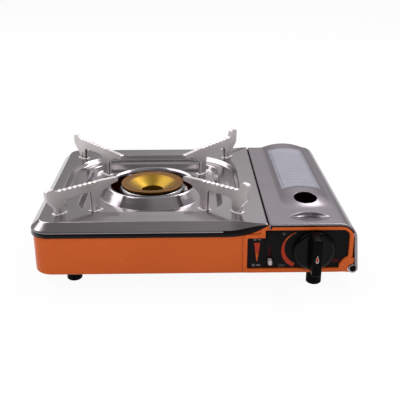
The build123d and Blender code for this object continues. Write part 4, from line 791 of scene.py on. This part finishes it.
def panel_bead():
    """Half-round bead pressed round the control panel."""
    top, low, left, right, step, shelf = 67.3, 18.1, 56.6, 168.6, 75.2, 58.4
    bend = [(right - 10 + 10 * cos(a), top - 10 + 10 * sin(a)) for a in (radians(90 - 9 * n) for n in range(11))]
    reach, half_width, rise = 13.3, 2.3, 0.85
    relief = [(PIN_X + reach * cos(a), PIN_Z + reach * sin(a)) for a in (radians(112 + 5 * n) for n in range(16))]
    paths = {"top": [(84.0, top), *bend, (right, 45), (right - 0.3, 34.6), *relief],
             "low": [(157.6, low), (120, low), (80, low), (left + 1.6, low), (left + 0.5, low + 0.5), (left, low + 1.6),
                     (left, 38), (left, shelf - 1.6), (left + 0.5, shelf - 0.5), (left + 1.6, shelf),
                     (step - 6, shelf)]}
    for name, path in paths.items():
        rows = []
        for n, p in enumerate(path):
            way = (Vector(path[min(n + 1, len(path) - 1)]) - Vector(path[max(n - 1, 0)])).normalized()
            side = Vector((way.y, -way.x))
            rows.append([(p[0] + side.x * half_width * cos(a), -SIDE_Y - 0.25 - rise * sin(a),
                          p[1] + side.y * half_width * cos(a)) for a in (pi * k / 10 for k in range(11))])
        add(f"panel_bead_{name}", flat(rows), grid(rows), [MAT["orange"]])


def lever_tip():
    """Pale ribbed cap on the locking lever's finger tip."""
    middle, half = 82.9, 2.12
    loop = rounded_rect(middle - half, middle + half, 26.9, 31.9, 0.9, 5)
    levels = [(-131.0, 0.95, 0.95), (-132.0, 1, 1), (-137.4, 1, 1), (-138.3, 0.9, 0.93), (-138.6, 0.72, 0.82)]
    lofted("lever_cap", prism_y(loop, levels), MAT["lever_pale"], "lever")
    for n in range(3):
        z = 28.0 + 1.4 * n
        rib = rounded_rect(middle - 1.6, middle + 1.6, z - 0.35, z + 0.35, 0.3, 3)
        lofted(f"lever_rib_{n}", prism_y(rib, [(-138.4, 1, 1), (-138.85, 0.98, 0.8)]), MAT["lever_pale"], "lever")


# ---- Camera, floor and light ---------------------------------------------------------------------
def camera():
    """Camera fitted to the photo."""
    data = bpy.data.cameras.new("camera")
    data.lens = 61.23
    data.sensor_width = 36.0
    data.clip_start = 0.01
    data.clip_end = 50
    obj = bpy.data.objects.new("camera", data)
    bpy.context.scene.collection.objects.link(obj)
    obj.location = at(-3.9, -778.7, 358.1)
    yaw, pitch, roll = radians(1.14), radians(21.79), radians(0.07)
    obj.rotation_mode = "QUATERNION"
    turn = Matrix.Rotation(-yaw, 4, "Z") @ Matrix.Rotation(pi / 2 - pitch, 4, "X") @ Matrix.Rotation(-roll, 4, "Z")
    obj.rotation_quaternion = turn.to_quaternion()
    bpy.context.scene.camera = obj


def floor():
    """Plain pale floor, almost white to the camera and in reflections, that still takes the shadow."""
    size = 6.0
    mesh = bpy.data.meshes.new("floor")
    mesh.from_pydata([(-size, -size, 0), (size, -size, 0), (size, size, 0), (-size, size, 0)], [], [(0, 1, 2, 3)])
    obj = bpy.data.objects.new("floor", mesh)
    bpy.context.scene.collection.objects.link(obj)
    mat = bpy.data.materials.new("floor")
    mat.use_nodes = True
    tree = mat.node_tree
    tree.nodes.clear()
    diffuse = new_node(tree, "ShaderNodeBsdfDiffuse", Color=(0.8, 0.8, 0.8, 1)).outputs[0]
    glow = new_node(tree, "ShaderNodeEmission", Strength=1.0).outputs[0]
    path = new_node(tree, "ShaderNodeLightPath").outputs
    either = new_node(tree, "ShaderNodeMath", {"operation": "MAXIMUM"}, _0=path["Is Camera Ray"],
                      _1=path["Is Glossy Ray"]).outputs[0]
    share = new_node(tree, "ShaderNodeMath", {"operation": "MULTIPLY"}, _0=either, _1=0.94).outputs[0]
    mix = new_node(tree, "ShaderNodeMixShader", _0=share, _1=diffuse, _2=glow).outputs[0]
    new_node(tree, "ShaderNodeOutputMaterial", Surface=mix)
    mesh.materials.append(mat)


def lamp(name, place, target, size, power):
    data = bpy.data.lights.new(name, "AREA")
    data.shape = "RECTANGLE"
    data.size, data.size_y = size
    data.energy = power
    obj = bpy.data.objects.new(name, data)
    bpy.context.scene.collection.objects.link(obj)
    obj.location = place
    way = Vector(target) - Vector(place)
    obj.rotation_mode = "QUATERNION"
    obj.rotation_quaternion = way.to_track_quat("-Z", "Y")
    return obj


def world():
    """Even soft light, white to the camera; metal sees a grey room, brightest high up at the back and right."""
    made = bpy.data.worlds.new("studio")
    bpy.context.scene.world = made
    made.use_nodes = True
    tree = made.node_tree
    tree.nodes.clear()

    def node(kind, settings=None, **inputs):
        return new_node(tree, kind, settings, **inputs)

    way = node("ShaderNodeSeparateXYZ", _0=node("ShaderNodeTexCoord").outputs["Generated"])
    angle = node("ShaderNodeMath", {"operation": "ARCTAN2"}, _0=way.outputs["Z"], _1=way.outputs["Y"]).outputs[0]
    share = node("ShaderNodeMath", {"operation": "DIVIDE"}, _0=angle, _1=pi).outputs[0]
    ramp = node("ShaderNodeValToRGB", _0=share)
    stops = [(0.0, 0.34), (0.075, 0.42), (0.10, 0.72), (0.13, 0.97), (0.27, 1.0), (0.40, 0.50), (0.61, 0.53),
             (0.68, 0.42), (0.78, 0.36), (1.0, 0.40)]
    set_stops(ramp.color_ramp, stops)
    side = node("ShaderNodeMapRange", _0=way.outputs["X"], _1=-0.22, _2=0.06, _3=0.52, _4=0.96).outputs[0]
    room = node("ShaderNodeMath", {"operation": "MULTIPLY"}, _0=ramp.outputs["Color"], _1=side).outputs[0]
    soft = node("ShaderNodeBackground", _1=0.62).outputs[0]
    seen = node("ShaderNodeBackground", _0=(1, 1, 1, 1), _1=room).outputs[0]
    white = node("ShaderNodeBackground", _0=(1, 1, 1, 1), _1=1.0).outputs[0]
    path = node("ShaderNodeLightPath").outputs
    gloss = node("ShaderNodeMath", {"operation": "MAXIMUM"}, _0=path["Is Glossy Ray"], _1=path["Is Transmission Ray"])
    inner = node("ShaderNodeMixShader", _0=gloss.outputs[0], _1=soft, _2=seen).outputs[0]
    outer = node("ShaderNodeMixShader", _0=path["Is Camera Ray"], _1=inner, _2=white).outputs[0]
    node("ShaderNodeOutputWorld", Surface=outer)
    bpy.context.scene.view_settings.view_transform = "Standard"


def main():
    camera()
    world()
    floor()
    lamp("left_softbox", (-1.16, 0.64, 1.50), (0, 0, 0.05), (1.8, 1.45), 27)
    lamp("right_softbox", (0.94, 0.72, 1.60), (0, 0, 0.05), (1.5, 0.6), 20)
    lamp("front_fill", (0.3, -1.8, 1.5), (0, 0, 0.05), (1.6, 1.0), 14).visible_glossy = False
    dress_nodes()
    top_plate()
    lid()
    label()
    burner_head()
    support_feet()
    knob()
    droplet()
    panel_marks()
    lever_tip()
    hinge_cheeks()
    panel_bead()


main()
